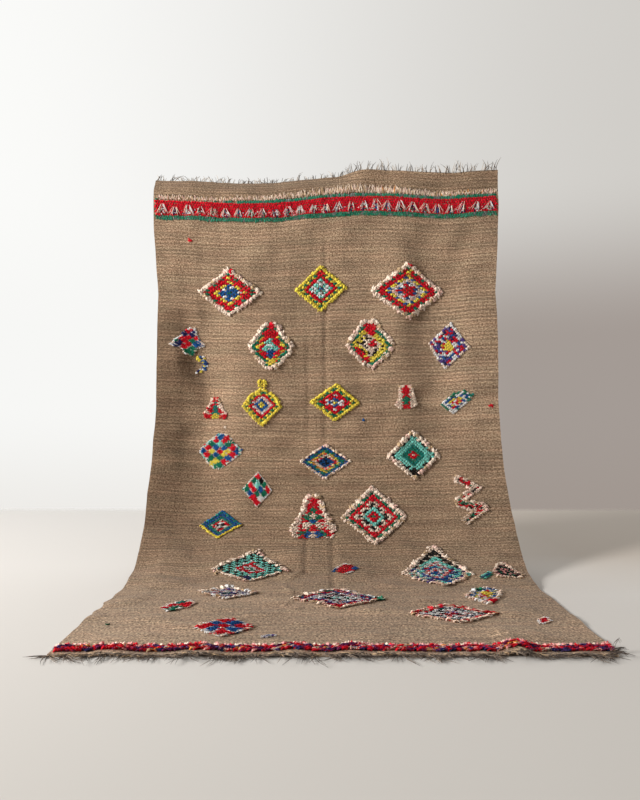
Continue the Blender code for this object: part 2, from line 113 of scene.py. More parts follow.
# Soft folds: how far the cloth is raised towards the camera, or upwards on the floor
Fold = namedtuple("Fold", "across half_across along half_along height")
FOLDS = (
    Fold(across=-0.62, half_across=0.21, along=1.05, half_along=0.95, height=-0.044),
    Fold(across=-0.30, half_across=0.22, along=0.80, half_along=0.85, height=0.016),
    Fold(across=0.20, half_across=0.22, along=0.75, half_along=0.80, height=-0.014),
    Fold(across=0.56, half_across=0.20, along=0.80, half_along=0.90, height=-0.032),
    Fold(across=0.36, half_across=0.16, along=0.55, half_along=0.60, height=0.012),
    Fold(across=-0.62, half_across=0.22, along=1.62, half_along=0.45, height=-0.018),
    Fold(across=-0.06, half_across=0.15, along=2.42, half_along=0.30, height=0.007),
    Fold(across=0.556, half_across=0.085, along=3.115, half_along=0.38, height=0.018),
    Fold(across=0.050, half_across=0.070, along=3.115, half_along=0.20, height=0.009),
)

# Creases of storage and small dents, each a soft line between two places on the rug
Crease = namedtuple("Crease", "start end half_width height")
CREASES = (
    Crease(start=(-0.76, 0.66), end=(-0.56, 1.22), half_width=0.095, height=-0.0160),
    Crease(start=(0.73, 0.22), end=(0.60, 0.66), half_width=0.085, height=-0.0090),
    Crease(start=(0.175, 0.98), end=(0.200, 1.26), half_width=0.075, height=-0.0060),
    Crease(start=(-0.090, 0.72), end=(-0.087, 1.50), half_width=0.018, height=-0.0040),
    Crease(start=(0.000, 0.26), end=(-0.002, 1.48), half_width=0.020, height=-0.0075),
    Crease(start=(-0.091, 1.76), end=(-0.095, 2.12), half_width=0.018, height=-0.0075),
    Crease(start=(0.031, 1.76), end=(0.020, 2.34), half_width=0.020, height=-0.0070),
    Crease(start=(-0.099, 2.05), end=(-0.190, 2.21), half_width=0.016, height=0.0065),
    Crease(start=(-0.190, 2.21), end=(-0.127, 2.40), half_width=0.016, height=0.0060),
    Crease(start=(-0.117, 2.33), end=(-0.128, 2.43), half_width=0.032, height=-0.0130),
    Crease(start=(-0.173, 2.56), end=(-0.140, 2.45), half_width=0.016, height=0.0050),
    Crease(start=(-0.112, 2.65), end=(-0.080, 2.52), half_width=0.016, height=-0.0050),
)

# How a crease fades towards its ends
CREASE_END_POWER = 3
CREASE_END_REACH = 0.8

# Painted shade in a crease, and painted light along a raised one: how far the colour darkens or lightens per
# metre of its depth
CREASE_SHADE = 13.0

# Slow waves that leave no stretch of the cloth quite flat
WAVE_COUNT = 36
WAVE_HEIGHT = 0.00055
WAVE_PITCH = 0.15
SHORTEST_WAVE = 0.05
LONGEST_WAVE = 0.30
SEED = 27

# Wool as it looks in soft daylight, in 8-bit sRGB
YARNS = {
    "cream": (255, 222, 202),
    "blush": (255, 206, 190),
    "pink": (236, 168, 162),
    "white": (246, 242, 238),
    "tan": (198, 168, 132),
    "yellow": (255, 222, 84),
    "orange": (240, 158, 70),
    "red": (222, 8, 38),
    "plum": (120, 30, 84),
    "green": (20, 126, 94),
    "sea": (60, 142, 112),
    "teal": (28, 132, 120),
    "aqua": (134, 220, 206),
    "blue": (22, 92, 158),
    "navy": (32, 38, 92),
    "purple": (98, 76, 146),
    "black": (18, 14, 16),
    "grey": (122, 134, 128),
    "fringe": (134, 118, 104),
    "dark_end": (80, 68, 60),
    "warp": (198, 186, 172),
}

# Outlines of the pile motifs, as shares of half the width and half the height, upwards first
SHAPES = {
    "lozenge": ((0, 1), (1, 0), (0, -1), (-1, 0)),
    "blunt": (
        (-0.12, 1), (0.16, 1), (1, 0.12), (0.94, -0.2),
        (0.14, -1), (-0.2, -1), (-1, -0.1), (-0.9, 0.2),
    ),
    "pear": (
        (-0.3, 1), (0.28, 1), (0.62, 0.42), (1, 0.05), (0.92, -0.3),
        (0.5, -0.72), (0.1, -1), (-0.2, -0.95), (-0.75, -0.4), (-1, 0),
    ),
    "cone": (
        (-0.25, 1), (0.25, 1), (0.6, 0.1), (1, -0.55),
        (0.85, -1), (-0.85, -1), (-1, -0.55), (-0.6, 0.1),
    ),
    "bell": (
        (-0.55, 1), (0.55, 0.95), (0.65, 0.2), (1, -0.65),
        (0.4, -1), (-0.4, -1), (-1, -0.7), (-0.65, 0.1),
    ),
    "leaf": (
        (0.05, 1), (0.4, 0.95), (0.62, 0.2), (1, -0.3), (0.55, -0.45),
        (0.3, -0.95), (-0.1, -1), (-0.45, -0.55), (-1, -0.35), (-0.5, 0.25),
    ),
    "zigzag": (
        (-0.8, 1), (0.8, 0.5), (-0.4, 0.02), (0.95, -0.12), (1, -0.36), (-0.3, -0.9),
        (-0.5, -1), (-0.75, -0.8), (0.1, -0.38), (-0.9, -0.22), (-1, 0.06), (0.1, 0.46), (-0.95, 0.76),
    ),
    "hook": (
        (-0.85, 1), (0.2, 1), (0.9, 0.5), (1, 0), (0.75, -0.4), (-0.8, -1),
        (-1, -0.72), (0.05, -0.25), (0.3, 0.05), (0.05, 0.35), (-0.7, 0.6),
    ),
    "bar": ((-0.75, 0.2), (0.45, 1), (1, 0.55), (0.8, -0.2), (-0.45, -1), (-1, -0.55)),
    "hill": ((-0.45, 0.85), (0.05, 1), (0.6, 0.3), (1, -0.5), (0.8, -1), (-0.8, -0.9), (-1, -0.35)),
    "kite": ((0.08, 1), (1, -0.25), (0, -1), (-1, -0.2)),
    "spiked": (
        (-0.2, 1), (0.18, 1), (0.1, 0.6), (0.65, 0.35), (1, -0.15),
        (0, -1), (-1, -0.2), (-0.6, 0.35), (-0.1, 0.6),
    ),
    "leaning": ((0.4, 1), (1, 0.6), (0.6, -0.15), (-0.15, -1), (-1, -0.05), (-0.45, 0.55)),
}
OPEN_BASES = ("cone", "bell")

# Pile motifs: place and size on the cloth. The rings of yarn run from the rim in. Two names parted by a
# slash take turns from row to row, three names parted by wavy lines are dealt so that none touches its like,
# and names parted by a bar are mixed. An arrow parts what lies above a motif's middle from what lies below.
Motif = namedtuple(
    "Motif", "node shape across along width height rings tilt cell slot",
    defaults=(0, None, "cream_yarn"),
)
RINGED = (
    Motif("pile_lozenge_01", "lozenge", -0.49, 0.575, 0.335, 0.24,
          "cream green~red~red red yellow~red~yellow blue~blue~white blue green"),
    Motif("pile_lozenge_02", "lozenge", -0.025, 0.565, 0.27, 0.225,
          "yellow green/yellow red aqua/white white/aqua blue", slot="yellow_yarn"),
    Motif("pile_lozenge_03", "lozenge", 0.42, 0.585, 0.38, 0.275,
          "cream green~red~red red yellow~blue~yellow white|blush blue~red~white red red"),
    Motif("pile_hook_05", "hook", -0.635, 0.945, 0.075, 0.095,
          "white|yellow|blue|navy blue|white", cell=(0.015, 0.013), slot="blue_yarn"),
    Motif("pile_pear_06", "pear", -0.277, 0.84, 0.225, 0.235,
          "cream green yellow|red red aqua white|aqua", cell=(0.023, 0.018)),
    Motif("pile_pear_07", "pear", 0.228, 0.84, 0.25, 0.235,
          "cream green yellow yellow|yellow|black cream|cream|black cream", cell=(0.023, 0.018)),
    Motif("pile_lozenge_08", "lozenge", 0.625, 0.855, 0.205, 0.24,
          "white|cream|white|purple purple|navy|white|red white|purple|red|blue navy|red|white|purple "
          "red|purple|white|yellow navy|white|red yellow", tilt=-8, slot="purple_yarn"),
    Motif("pile_cone_09", "cone", -0.555, 1.16, 0.13, 0.11,
          "cream|red red teal", cell=(0.018, 0.014), slot="red_yarn"),
    Motif("pile_spiked_10", "spiked", -0.32, 1.125, 0.2, 0.24,
          "yellow green/yellow red white|blush blue yellow", cell=(0.0185, 0.0175), slot="yellow_yarn"),
    Motif("pile_lozenge_11", "lozenge", 0.048, 1.12, 0.255, 0.19,
          "yellow green~green~yellow red white~red~red blue~white~blue yellow", tilt=-3, slot="yellow_yarn"),
    Motif("pile_bell_12", "bell", 0.406, 1.105, 0.11, 0.12,
          "cream cream red red", cell=(0.015, 0.013)),
    Motif("pile_leaning_13", "leaning", 0.657, 1.14, 0.175, 0.13,
          "green|green|teal white|green|white white|blue|blue white|red|yellow red|white",
          cell=(0.0155, 0.0125), slot="teal_yarn"),
    Motif("pile_lozenge_15", "lozenge", 0.0, 1.42, 0.26, 0.19,
          "cream blue|blue|navy teal|blue|green yellow|orange|green cream|cream|red "
          "black|blue|blue blue|black", cell=(0.0185, 0.0135), slot="green_yarn"),
    Motif("pile_lozenge_16", "lozenge", 0.432, 1.395, 0.26, 0.255,
          "cream black~aqua~black aqua aqua teal teal|green red cream", slot="teal_yarn"),
    Motif("pile_zigzag_18", "zigzag", 0.684, 1.635, 0.135, 0.265,
          "cream red|red|cream|black|green", cell=(0.0145, 0.012)),
    Motif("pile_lozenge_19", "lozenge", -0.49, 1.76, 0.205, 0.165,
          "blue/teal>yellow blue teal red|red|cream white|black white|black", tilt=-4, slot="blue_yarn"),
    Motif("pile_cone_20", "cone", -0.059, 1.72, 0.22, 0.25,
          "cream cream|red|red red green|red green|cream cream|tan blue", cell=(0.020, 0.0165)),
    Motif("pile_lozenge_21", "lozenge", 0.225, 1.717, 0.315, 0.345,
          "cream green~green~cream red red~cream~cream black~black~cream aqua red green"),
    Motif("pile_kite_22", "kite", -0.331, 2.04, 0.34, 0.29,
          "cream black~black~aqua black~aqua~aqua black~aqua~aqua white~aqua~aqua red white|red white|green",
          cell=(0.0195, 0.0185)),
    Motif("pile_blunt_23", "blunt", 0.08, 2.06, 0.125, 0.1,
          "cream|white red red", cell=(0.017, 0.015), slot="red_yarn"),
    Motif("pile_kite_24", "kite", 0.472, 2.055, 0.31, 0.385,
          "cream black>purple|cream|aqua black~cream~black>cream|aqua aqua>aqua|blue|white "
          "aqua|white>purple|blue|aqua pink|white|red white|blue|aqua blue|white|pink pink|red|white red",
          cell=(0.019, 0.0225)),
    Motif("pile_bar_25", "bar", 0.672, 2.12, 0.06, 0.08,
          "green|teal|aqua blue|teal", cell=(0.016, 0.015), slot="green_yarn"),
    Motif("pile_bar_26", "hill", 0.765, 2.07, 0.125, 0.15,
          "cream black|black|pink pink|green|black", cell=(0.018, 0.020)),
    Motif("pile_leaning_27", "leaning", 0.609, 2.385, 0.16, 0.255,
          "cream|cream|white blue|blue|white white|blue|yellow red|white",
          cell=(0.0185, 0.020), slot="blue_yarn"),
    Motif("pile_lozenge_28", "lozenge", -0.396, 2.335, 0.245, 0.2,
          "cream|cream|white white|purple|white|pink white|purple|navy|white white|white|purple|pink "
          "white|white|navy white|green|purple green|teal", cell=(0.0175, 0.0185), slot="purple_yarn"),
    Motif("pile_lozenge_29", "lozenge", 0.035, 2.43, 0.37, 0.31,
          "cream|cream|white>cream green|teal|purple|red>red|red|blue red|purple|pink>red|purple|blue "
          "white|blue|white white|black|white|pink white|white|black|navy white|aqua|black|white green|aqua",
          cell=(0.0215, 0.0215)),
    Motif("pile_lozenge_32", "lozenge", 0.435, 2.65, 0.33, 0.265,
          "cream|cream|red>cream red|red|cream>red|red|red navy|white|green|white white|black|white|navy "
          "black|white|white|pink white|white|black|red red|purple|white red|purple",
          cell=(0.0195, 0.0195), slot="purple_yarn"),
    Motif("pile_bar_33", "bar", -0.201, 2.925, 0.055, 0.045,
          "white blue|purple", cell=(0.013, 0.011)),
    Motif("pile_bar_34", "bar", 0.729, 2.735, 0.055, 0.11,
          "white|cream red", cell=(0.014, 0.014)),
)

# Chequered motifs: each row of letters is a diagonal row of blocks, down to the right, and the rows follow
# each other down to the left
Chequer = namedtuple("Chequer", "node shape across along width height blocks line slot")
LETTERS = {
    "r": "red", "g": "green", "b": "blue", "n": "navy", "k": "black", "a": "aqua",
    "y": "yellow", "w": "white", "t": "teal",
}
CHEQUERED = (
    Chequer("pile_leaf_04", "leaf", -0.705, 0.825, 0.18, 0.14,
            ("rnrb", "nrgb", "rrrg", "gnrg"), "white|cream", slot="red_yarn"),
    Chequer("pile_blunt_14", "blunt", -0.521, 1.375, 0.22, 0.18,
            ("brgrb", "rabyr", "gbryb", "rybgr", "brgyg"), "white|cream|aqua", slot="red_yarn"),
    Chequer("pile_lozenge_17", "lozenge", -0.329, 1.57, 0.14, 0.19,
            ("rkgr", "gabg", "rrgw", "gbrr"), "white|cream", slot="red_yarn"),
    Chequer("pile_bar_30", "bar", -0.557, 2.535, 0.115, 0.16,
            ("tr", "rg"), "cream|white", slot="red_yarn"),
    Chequer("pile_blunt_31", "blunt", -0.354, 2.82, 0.19, 0.205,
            ("rbr", "brb", "rbr"), "cream|white", slot="red_yarn"),
)

# Small spots of another yarn in a motif: place and reach as shares of its half width and half height
Spot = namedtuple("Spot", "yarn right up reach")
SPOTS = {
    "pile_lozenge_01": (
        Spot("red", 0.04, 0.90, 0.05),
        Spot("yellow", 0.00, 0.66, 0.06),
    ),
    "pile_lozenge_02": (Spot("red", 0.00, 0.60, 0.14),),
    "pile_lozenge_03": (
        Spot("red", 0.05, 0.90, 0.05),
        Spot("yellow", 0.05, 0.68, 0.06),
    ),
    "pile_hook_05": (Spot("yellow", -0.40, 0.50, 0.40),),
    "pile_pear_06": (
        Spot("red", 0.00, 0.76, 0.20),
        Spot("red", -0.20, 0.56, 0.14),
        Spot("red", 0.22, 0.56, 0.14),
        Spot("grey", 0.00, 0.58, 0.08),
        Spot("blue", -0.02, -0.32, 0.17),
        Spot("yellow", 0.00, -0.62, 0.20),
    ),
    "pile_pear_07": (
        Spot("red", 0.02, 0.64, 0.27),
        Spot("grey", 0.00, 0.60, 0.07),
        Spot("red", 0.10, 0.02, 0.16),
        Spot("red", -0.50, -0.24, 0.13),
        Spot("red", -0.36, -0.42, 0.15),
        Spot("red", -0.20, -0.62, 0.15),
    ),
    "pile_lozenge_08": (Spot("yellow", 0.00, 0.02, 0.20),),
    "pile_cone_09": (
        Spot("cream", -0.50, 0.55, 0.26),
        Spot("cream", 0.55, 0.35, 0.30),
        Spot("yellow", 0.00, -0.78, 0.32),
        Spot("red", -0.80, -0.80, 0.28),
        Spot("red", 0.75, -0.85, 0.30),
    ),
    "pile_spiked_10": (Spot("yellow", 0.00, 0.85, 0.36),),
    "pile_bell_12": (
        Spot("red", 0.00, 0.60, 0.35),
        Spot("green", 0.00, -0.28, 0.30),
        Spot("red", 0.00, -0.85, 0.30),
    ),
    "pile_leaning_13": (Spot("orange", 0.10, 0.20, 0.10),),
    "pile_lozenge_16": (
        Spot("black", 0.00, -0.70, 0.17),
        Spot("black", -0.24, -0.54, 0.10),
    ),
    "pile_zigzag_18": (
        Spot("red", -0.46, 0.80, 0.12),
        Spot("red", -0.02, 0.66, 0.14),
    ),
    "pile_cone_20": (
        Spot("red", 0.00, 0.62, 0.16),
        Spot("green", 0.00, 0.36, 0.11),
        Spot("cream", 0.00, 0.12, 0.11),
        Spot("green", -0.24, 0.04, 0.14),
        Spot("green", 0.24, 0.06, 0.14),
        Spot("blue", 0.00, -0.22, 0.12),
        Spot("cream", -0.86, -0.55, 0.24),
        Spot("cream", 0.86, -0.50, 0.22),
        Spot("cream", -0.28, -0.34, 0.13),
        Spot("cream", 0.28, -0.34, 0.13),
        Spot("red", 0.00, -0.50, 0.15),
        Spot("blue", -0.22, -0.78, 0.15),
        Spot("blue", 0.22, -0.78, 0.15),
        Spot("cream", 0.00, -0.86, 0.12),
        Spot("green", -0.45, -0.72, 0.12),
        Spot("green", 0.45, -0.74, 0.12),
        Spot("red", -0.66, -0.62, 0.15),
        Spot("red", 0.68, -0.70, 0.18),
    ),
    "pile_kite_22": (Spot("navy", -0.05, -0.70, 0.13),),
    "pile_blunt_23": (
        Spot("blue", -0.66, -0.05, 0.27),
        Spot("blue", 0.66, -0.05, 0.27),
    ),
    "pile_kite_24": (
        Spot("purple", -0.25, -0.60, 0.11),
        Spot("blue", 0.25, -0.60, 0.10),
    ),
    "pile_leaning_27": (
        Spot("green", -0.10, 0.72, 0.24),
        Spot("yellow", 0.10, 0.25, 0.20),
        Spot("red", 0.10, -0.60, 0.24),
    ),
    "pile_lozenge_29": (
        Spot("red", 0.00, -0.72, 0.15),
        Spot("green", 0.84, 0.00, 0.08),
    ),
}

# Tufts of one size: their width and length, and their height as a share of a full lock's
Size = namedtuple("Size", "width length lift")

# Pile bands, from edge to edge, each between two places along the rug
BAND_MARGIN = 0.008
BAND_REACH = HALF_WIDTH - BAND_MARGIN
GREEN_LINE = (0.113, 0.125)
RED_BAND = (0.125, 0.199)
GREEN_BORDER = (0.199, 0.220)
FRONT_BAND = (3.036, 3.102)
LINE_PITCH = 0.0115
LINE_WIDTH = 0.015
LINE_LIFT = 0.7
LINE_YARNS = ("sea", "sea", "sea", "sea", "green", "grey")

# Left of this place the green line is all but missing, and the cream ends start lower
LINE_START = -0.58
LINE_FADE = 0.18
LINE_REST = 0.03

# Upright cream ends, longest right of the middle
CREAM_ENDS = 900
CREAM_FEET = (0.0990, 0.1130)
CREAM_DROP = 0.009
CREAM_LENGTH = 0.016
CREAM_EXTRA = 0.017
CREAM_PEAK = 0.18
CREAM_PEAK_REACH = 0.50
CREAM_RADIUS = 0.0025
ORANGE_START = 0.25
ORANGE_SHARE = 0.35

# The red band and its flecks
RED_ROWS = 6
RED_PITCH = 0.0125
RED_TUFT = Size(0.0165, 0.019, lift=0.75)
FLECKS = 27
FLECK_CORES = ("navy", "black", "navy", "green", "blue")
FLECK_STRANDS = ("white", "cream", "white", "cream", "pink")
FLECK_LEAN = 0.5
FLECK_LEAN_START = 0.30
FLECK_LEAN_FADE = 0.4
CORE_TUFTS = 12
CORE_TUFT = Size(0.011, 0.013, lift=1.5)
FOOT_TUFTS = 10
FOOT_TUFT = Size(0.009, 0.010, lift=1.1)

# The front band, in clusters of yarn three rows deep
FRONT_ROWS = 3
FRONT_ROWS_START = 0.012
FRONT_ROWS_ROOM = 0.018
FRONT_CLUSTER = 7
FRONT_TUFT = Size(0.0165, 0.021, lift=1.35)
FRONT_EDGE_TUFTS = 3
FRONT_EDGE_TUFT = Size(0.016, 0.014, lift=1.35)
FRONT_EDGE_YARNS = ("pink", "pink", "cream", "red")
FRONT_MIXES = (
    ("red", "red", "red", "red", "red", "plum", "pink"),
    ("navy", "purple", "plum", "red", "plum", "navy"),
    ("red", "red", "red", "plum", "plum"),
    ("cream", "pink", "tan", "red", "orange", "purple"),
)
BAND_SLOTS = {
    "cream_pile_strip": "cream_yarn",
    "green_pile_line": "green_yarn",
    "red_pile_band": "red_yarn",
    "green_pile_border": "green_yarn",
    "front_pile_band": "red_yarn",
}

# Loose warp ends along the top and the front, and the narrow strips of weave that they come from
STRIP_START = 0.0006
STRIP_END = 0.0076
STRIP_THICKNESS = 0.0035
STRIP_COLUMNS = 160
END_REACH = HALF_WIDTH - 0.003
TOP_REACH = HALF_WIDTH - 0.004
TOP_ROOT = -0.004
TOP_STEP = 0.0045
TOP_YARNS = ("fringe", "dark_end", "dark_end", "warp", "warp")
TOP_SPACES = (0.002, 0.004, 0.012, 0.022)
TOP_LEVEL = 0.001
MATTED_ENDS = 560
MATTED_YARNS = ("fringe", "fringe", "fringe", "dark_end", "tan")
LONG_YARNS = ("fringe", "dark_end", "dark_end")
FRONT_SPACES = (0.006, 0.010, 0.016, 0.030)
FRONT_LEVEL = 0.004
FRONT_FLOOR = 0.0008
CORNER_ENDS = 18
UPRIGHT_ENDS = 3

# Stray marks, each of a few tufts within a small spread
MARK_TUFT = Size(0.012, 0.011, lift=0.8)
Mark = namedtuple("Mark", "across along yarn count spread")
MARKS = (
    Mark(-0.682, 0.320, "red", 9, 0.009),
    Mark(0.814, 1.160, "red", 8, 0.009),
    Mark(0.189, 1.214, "blue", 4, 0.005),
    Mark(-0.755, 2.800, "green", 4, 0.008),
    Mark(-0.236, 0.748, "purple", 7, 0.009),
    Mark(-0.505, 1.258, "cream", 3, 0.006),
)

# Locks of pile, sized as shares of the lattice cell that they fill
LOCK_VARIANTS = 4
FULL_LOCK_ENDS = 5
SMALL_LOCK_ENDS = 3
LOCK_HEIGHT = 0.0095
LOCK_FULL_WIDTH = 0.022
LOCK_END_RADIUS = 0.142
LOCK_ROOT_SPREAD = 0.40
LOCK_FAN = 0.45
SMALL_LOCK = 0.013
LOCK_SINK = 0.0005
LOCK_DISORDER = 0.08

# How the locks of a motif are laid: rings keep off the rim, and mixed yarns and blocks have their own cells
OPEN_BASE_DROP = 2.0
RIM_INSET = 0.30
NARROW_INSET = 0.08
NARROW_SHAPES = ("zigzag", "hook", "bar")
MIXED_CELL = 0.016
MIXED_SHIFT = 0.24
MIXED_SIZE = 0.78
BLOCK_CELLS = 4
BLOCK_RIM = 0.7
BLOCK_RIM_SHARE = 0.8
BLOCK_LINE_SHARE = 0.6

# On the floor the pile leans towards the camera and lies a little flatter
FLOOR_START = 1.7
FLOOR_FADE = 0.5
FLOOR_LEAN = 0.018
FLOOR_FLATTENING = 0.10

# Bulky tufts along the rims of the motifs: slimmer on some, and none on those with a plain rim or along the
# base of an open shape
RIM_YARNS = ("cream", "cream", "blush", "cream", "cream", "tan")
RIM_WIDTH = 0.031
RIM_LENGTH = 0.85
RIM_TURNED_BACK = 0.35
RIM_PART = 0.125
RIM_SPACING = 0.70
RIM_PLACE = 0.93
SLIM_RIM = 0.72
SLIM_RIMS = ("pile_lozenge_02", "pile_spiked_10", "pile_lozenge_11", "pile_lozenge_15", "pile_lozenge_19")
PLAIN_RIMS = (
    "pile_hook_05", "pile_lozenge_08", "pile_leaning_13", "pile_blunt_23",
    "pile_bar_25", "pile_bar_33", "pile_bar_34",
)
BASE_LEVEL = -0.9

# Knotted wool: its shader, how far each lock strays from the yarn's colour, and its fibres
WOOL = {
    "Roughness": 0.92,
    "Specular IOR Level": 0.12,
    "Sheen Weight": 0.06,
    "Sheen Roughness": 0.6,
}
YARN_DARK = 0.80
YARN_LIGHT = 1.16
YARN_GLOW = 0.006
LOCK_SPOTS = 60.0
FIBRE_SPOTS = 900.0

# The brown wool of the weave, in 8-bit sRGB. Darker wool is also warmer, and so is the painted shade: the
# shade is raised to these powers in red, green and blue.
CLOTH_GRID = (150, 272)
WEAVE_DARK = (105, 81, 60)
WEAVE_LIGHT = (203, 180, 155)
WEAVE_WARM = (214, 184, 160)
WEAVE_COOL = (202, 192, 168)
WARM_SHARE = 0.30
SHADE_POWERS = (1.0, 1.09, 1.16)

# Grains of the wool: spots per metre across and along the rug, and their detail
Grain = namedtuple("Grain", "across along detail")
GRAINS = {
    "heather": Grain(135, 250, 2.0),
    "flecks": Grain(230, 330, 1.0),
    "lumps": Grain(60, 80, 2.0),
    "knots": Grain(100, 46, 2.0),
    "streaks": Grain(2.6, 95, 3.0),
    "bands": Grain(0.8, 12, 3.0),
    "clouds": Grain(2.4, 3.0, 2.0),
    "warmth": Grain(5, 26, 2.0),
}
RIB_STRETCH = 0.12
RIB_SCALE = 18.0

# How far each grain darkens and lightens the wool, and from which of its values to which
Shade = namedtuple("Shade", "grain low high start end")
SHADES = (
    Shade("flecks", low=0.66, high=1.12, start=0.34, end=0.66),
    Shade("lumps", low=0.86, high=1.10, start=0.36, end=0.64),
    Shade("streaks", low=0.74, high=1.10, start=0.36, end=0.64),
    Shade("bands", low=0.84, high=1.06, start=0.34, end=0.66),
    Shade("clouds", low=0.92, high=1.04, start=0.30, end=0.70),
    Shade("ribs", low=0.80, high=1.08, start=0.0, end=0.8),
)

# Coarser knots, which show on the floor between these distances from the front edge
FLOOR_SHADE_GRAIN = Shade("knots", low=0.72, high=1.24, start=0.36, end=0.64)
FLOOR_GRAIN_START = 1.30
FLOOR_GRAIN_FULL = 0.60

# How rough each grain makes the weave
Roughness = namedtuple("Roughness", "grain strength depth")
WEAVE_ROUGHNESS = (
    Roughness("flecks", strength=0.35, depth=0.001),
    Roughness("lumps", strength=0.5, depth=0.002),
    Roughness("ribs", strength=0.6, depth=0.0014),
)

# Tone along the rug: painted shade at the top, where the cloth rolls back; darker across the bend, partly
# dye lots and partly painted shade; and lighter on the floor, a painted sheen
DyeAndShade = namedtuple("DyeAndShade", "along shade")
DYE_AND_SHADE_ALONG = (
    DyeAndShade(along=0.00, shade=0.86),
    DyeAndShade(along=0.10, shade=0.88),
    DyeAndShade(along=0.24, shade=0.98),
    DyeAndShade(along=0.75, shade=1.00),
    DyeAndShade(along=1.15, shade=0.95),
    DyeAndShade(along=1.50, shade=0.82),
    DyeAndShade(along=1.80, shade=0.74),
    DyeAndShade(along=2.00, shade=0.84),
    DyeAndShade(along=2.30, shade=1.06),
    DyeAndShade(along=3.11, shade=1.15),
)

# Soft patches of painted shade (a change below 0) and painted light (a change above 0) on the weave
PaintedPatch = namedtuple("PaintedPatch", "across half_across along half_along change")
PAINTED_PATCHES = (
    PaintedPatch(across=-0.84, half_across=0.24, along=1.02, half_along=0.62, change=-0.45),
    PaintedPatch(across=-0.78, half_across=0.36, along=1.62, half_along=0.50, change=-0.30),
    PaintedPatch(across=0.80, half_across=0.30, along=0.42, half_along=0.42, change=0.16),
    PaintedPatch(across=0.76, half_across=0.36, along=1.10, half_along=0.65, change=0.26),
    PaintedPatch(across=-0.80, half_across=0.60, along=2.85, half_along=0.60, change=0.10),
    PaintedPatch(across=0.70, half_across=0.40, along=1.80, half_along=0.45, change=0.22),
)

# The pale floor: its tones from front to back, darker towards the camera as painted shade; a painted shadow
# of the rug behind its right side; and its soft edge
FLOOR_SIZE = (14, 13)
FLOOR_PLACE = (0, -3.0, -0.0015)
FLOOR_DEPTH = (-2.2, 3.0)
FLOOR_TONES = (
    (0.0, (194, 190, 184)),
    (0.54, (232, 228, 223)),
    (1.0, (244, 241, 237)),
)
FLOOR_SHADE = (0.80, 0.74, 0.68)
SHADE_BEHIND = (0.0, 0.9)
SHADE_SIDE = (0.2, 1.3)
FLOOR_EDGE = (2.70, 2.98)

# The surroundings by direction: to the left, to the right, and between which directions they change. They
# light
# the rug and stand for the wall behind it: the darker right side, lowest behind the rug, is painted shade
# and a painted shadow of the rug on that wall
Surround = namedtuple("Surround", "left right start end")
HIGH_SURROUND = Surround(left=(251, 251, 249), right=(208, 205, 200), start=-0.42, end=0.42)
LOW_SURROUND = Surround(left=(247, 247, 245), right=(164, 155, 149), start=-0.20, end=0.26)
FOOT_SURROUND = Surround(left=(237, 235, 231), right=(161, 151, 144), start=-0.20, end=0.26)
NEAR_SURROUND = (146, 145, 144)
HIGH_CHANGE = (0.10, 0.30)
FOOT_CHANGE = (-0.14, 0.02)
NEAR_CHANGE = (-0.2, 0.6)

# Daylight from the left, and the camera
WINDOW_PLACE = (-6.9, -3.9, 3.4)
WINDOW_AIM = (0, 0.3, 0.7)
WINDOW_SIZE = 2.4
WINDOW_POWER = 900
WINDOW_COLOUR = (1.0, 0.985, 0.965)
CAMERA_PLACE = (MIDDLE_X - 0.027, HANGING_Y - 3.674, 0.694)
LENS = 33.75
SENSOR_WIDTH = 36
UPWARD_SHIFT = 0.025


def smooth(t):
    t = np.clip(t, 0.0, 1.0)
    return t * t * (3 - 2 * t)


def bump(t):
    return np.where(np.abs(t) < 1, np.cos(np.pi * t / 2) ** 2, 0.0)


def side_profile():
    """Forward distance, height and angle at evenly spaced steps down the cloth."""
    along = np.linspace(0, RUG_LENGTH, PROFILE_STEPS + 1)
    share = np.clip((along - BEND_START) / (BEND_END - BEND_START), 0, 1)
    angle = HANG_LEAN + (math.pi / 2 - HANG_LEAN) * share * share * (3 - 2 * share)
    middle = (angle[1:] + angle[:-1]) / 2
    step = RUG_LENGTH / PROFILE_STEPS
    forward = np.concatenate([[0], np.cumsum(np.sin(middle) * step)])
    height = np.concatenate([[0], np.cumsum(np.cos(middle) * step)])
    forward -= np.interp(BEND_START, along, forward)
    return along, forward, height[-1] - height, angle


ALONG, FORWARD, HEIGHT, ANGLE = side_profile()


def slow_waves():
    """Direction, pitch, phase and size of each slow wave in the cloth."""
    draws = random.Random(SEED)
    waves = []
    for _ in range(WAVE_COUNT):
        turn = draws.uniform(0, math.pi)
        pitch = draws.uniform(SHORTEST_WAVE, LONGEST_WAVE)
        size = WAVE_HEIGHT * draws.uniform(0.4, 1.6) * pitch / WAVE_PITCH
        waves.append((math.cos(turn) / pitch, math.sin(turn) / pitch, draws.uniform(0, 2 * math.pi), size))
    return waves


WAVES = slow_waves()


def top_drop(across):
    """How far the top line sags at each place across the rug."""
    across = np.clip(across, TOP_LINE[0].across, TOP_LINE[-1].across)
    drop = np.zeros_like(across)
    for left, right in zip(TOP_LINE, TOP_LINE[1:]):
        share = smooth((across - left.across) / (right.across - left.across))
        here = (across >= left.across) & (across <= right.across)
        drop = np.where(here, left.drop + (right.drop - left.drop) * share, drop)
    return drop


def slack(across, along):
    """How much further down the hanging profile each place lies than its distance from the top edge."""
    top = top_drop(across) * (1 - smooth(along / TOP_LINE_FADE))
    belly = BELLY_DROP * bump(across / BELLY_HALF_WIDTH) * bump((along - BELLY_ALONG) / BELLY_REACH)
    return top + belly


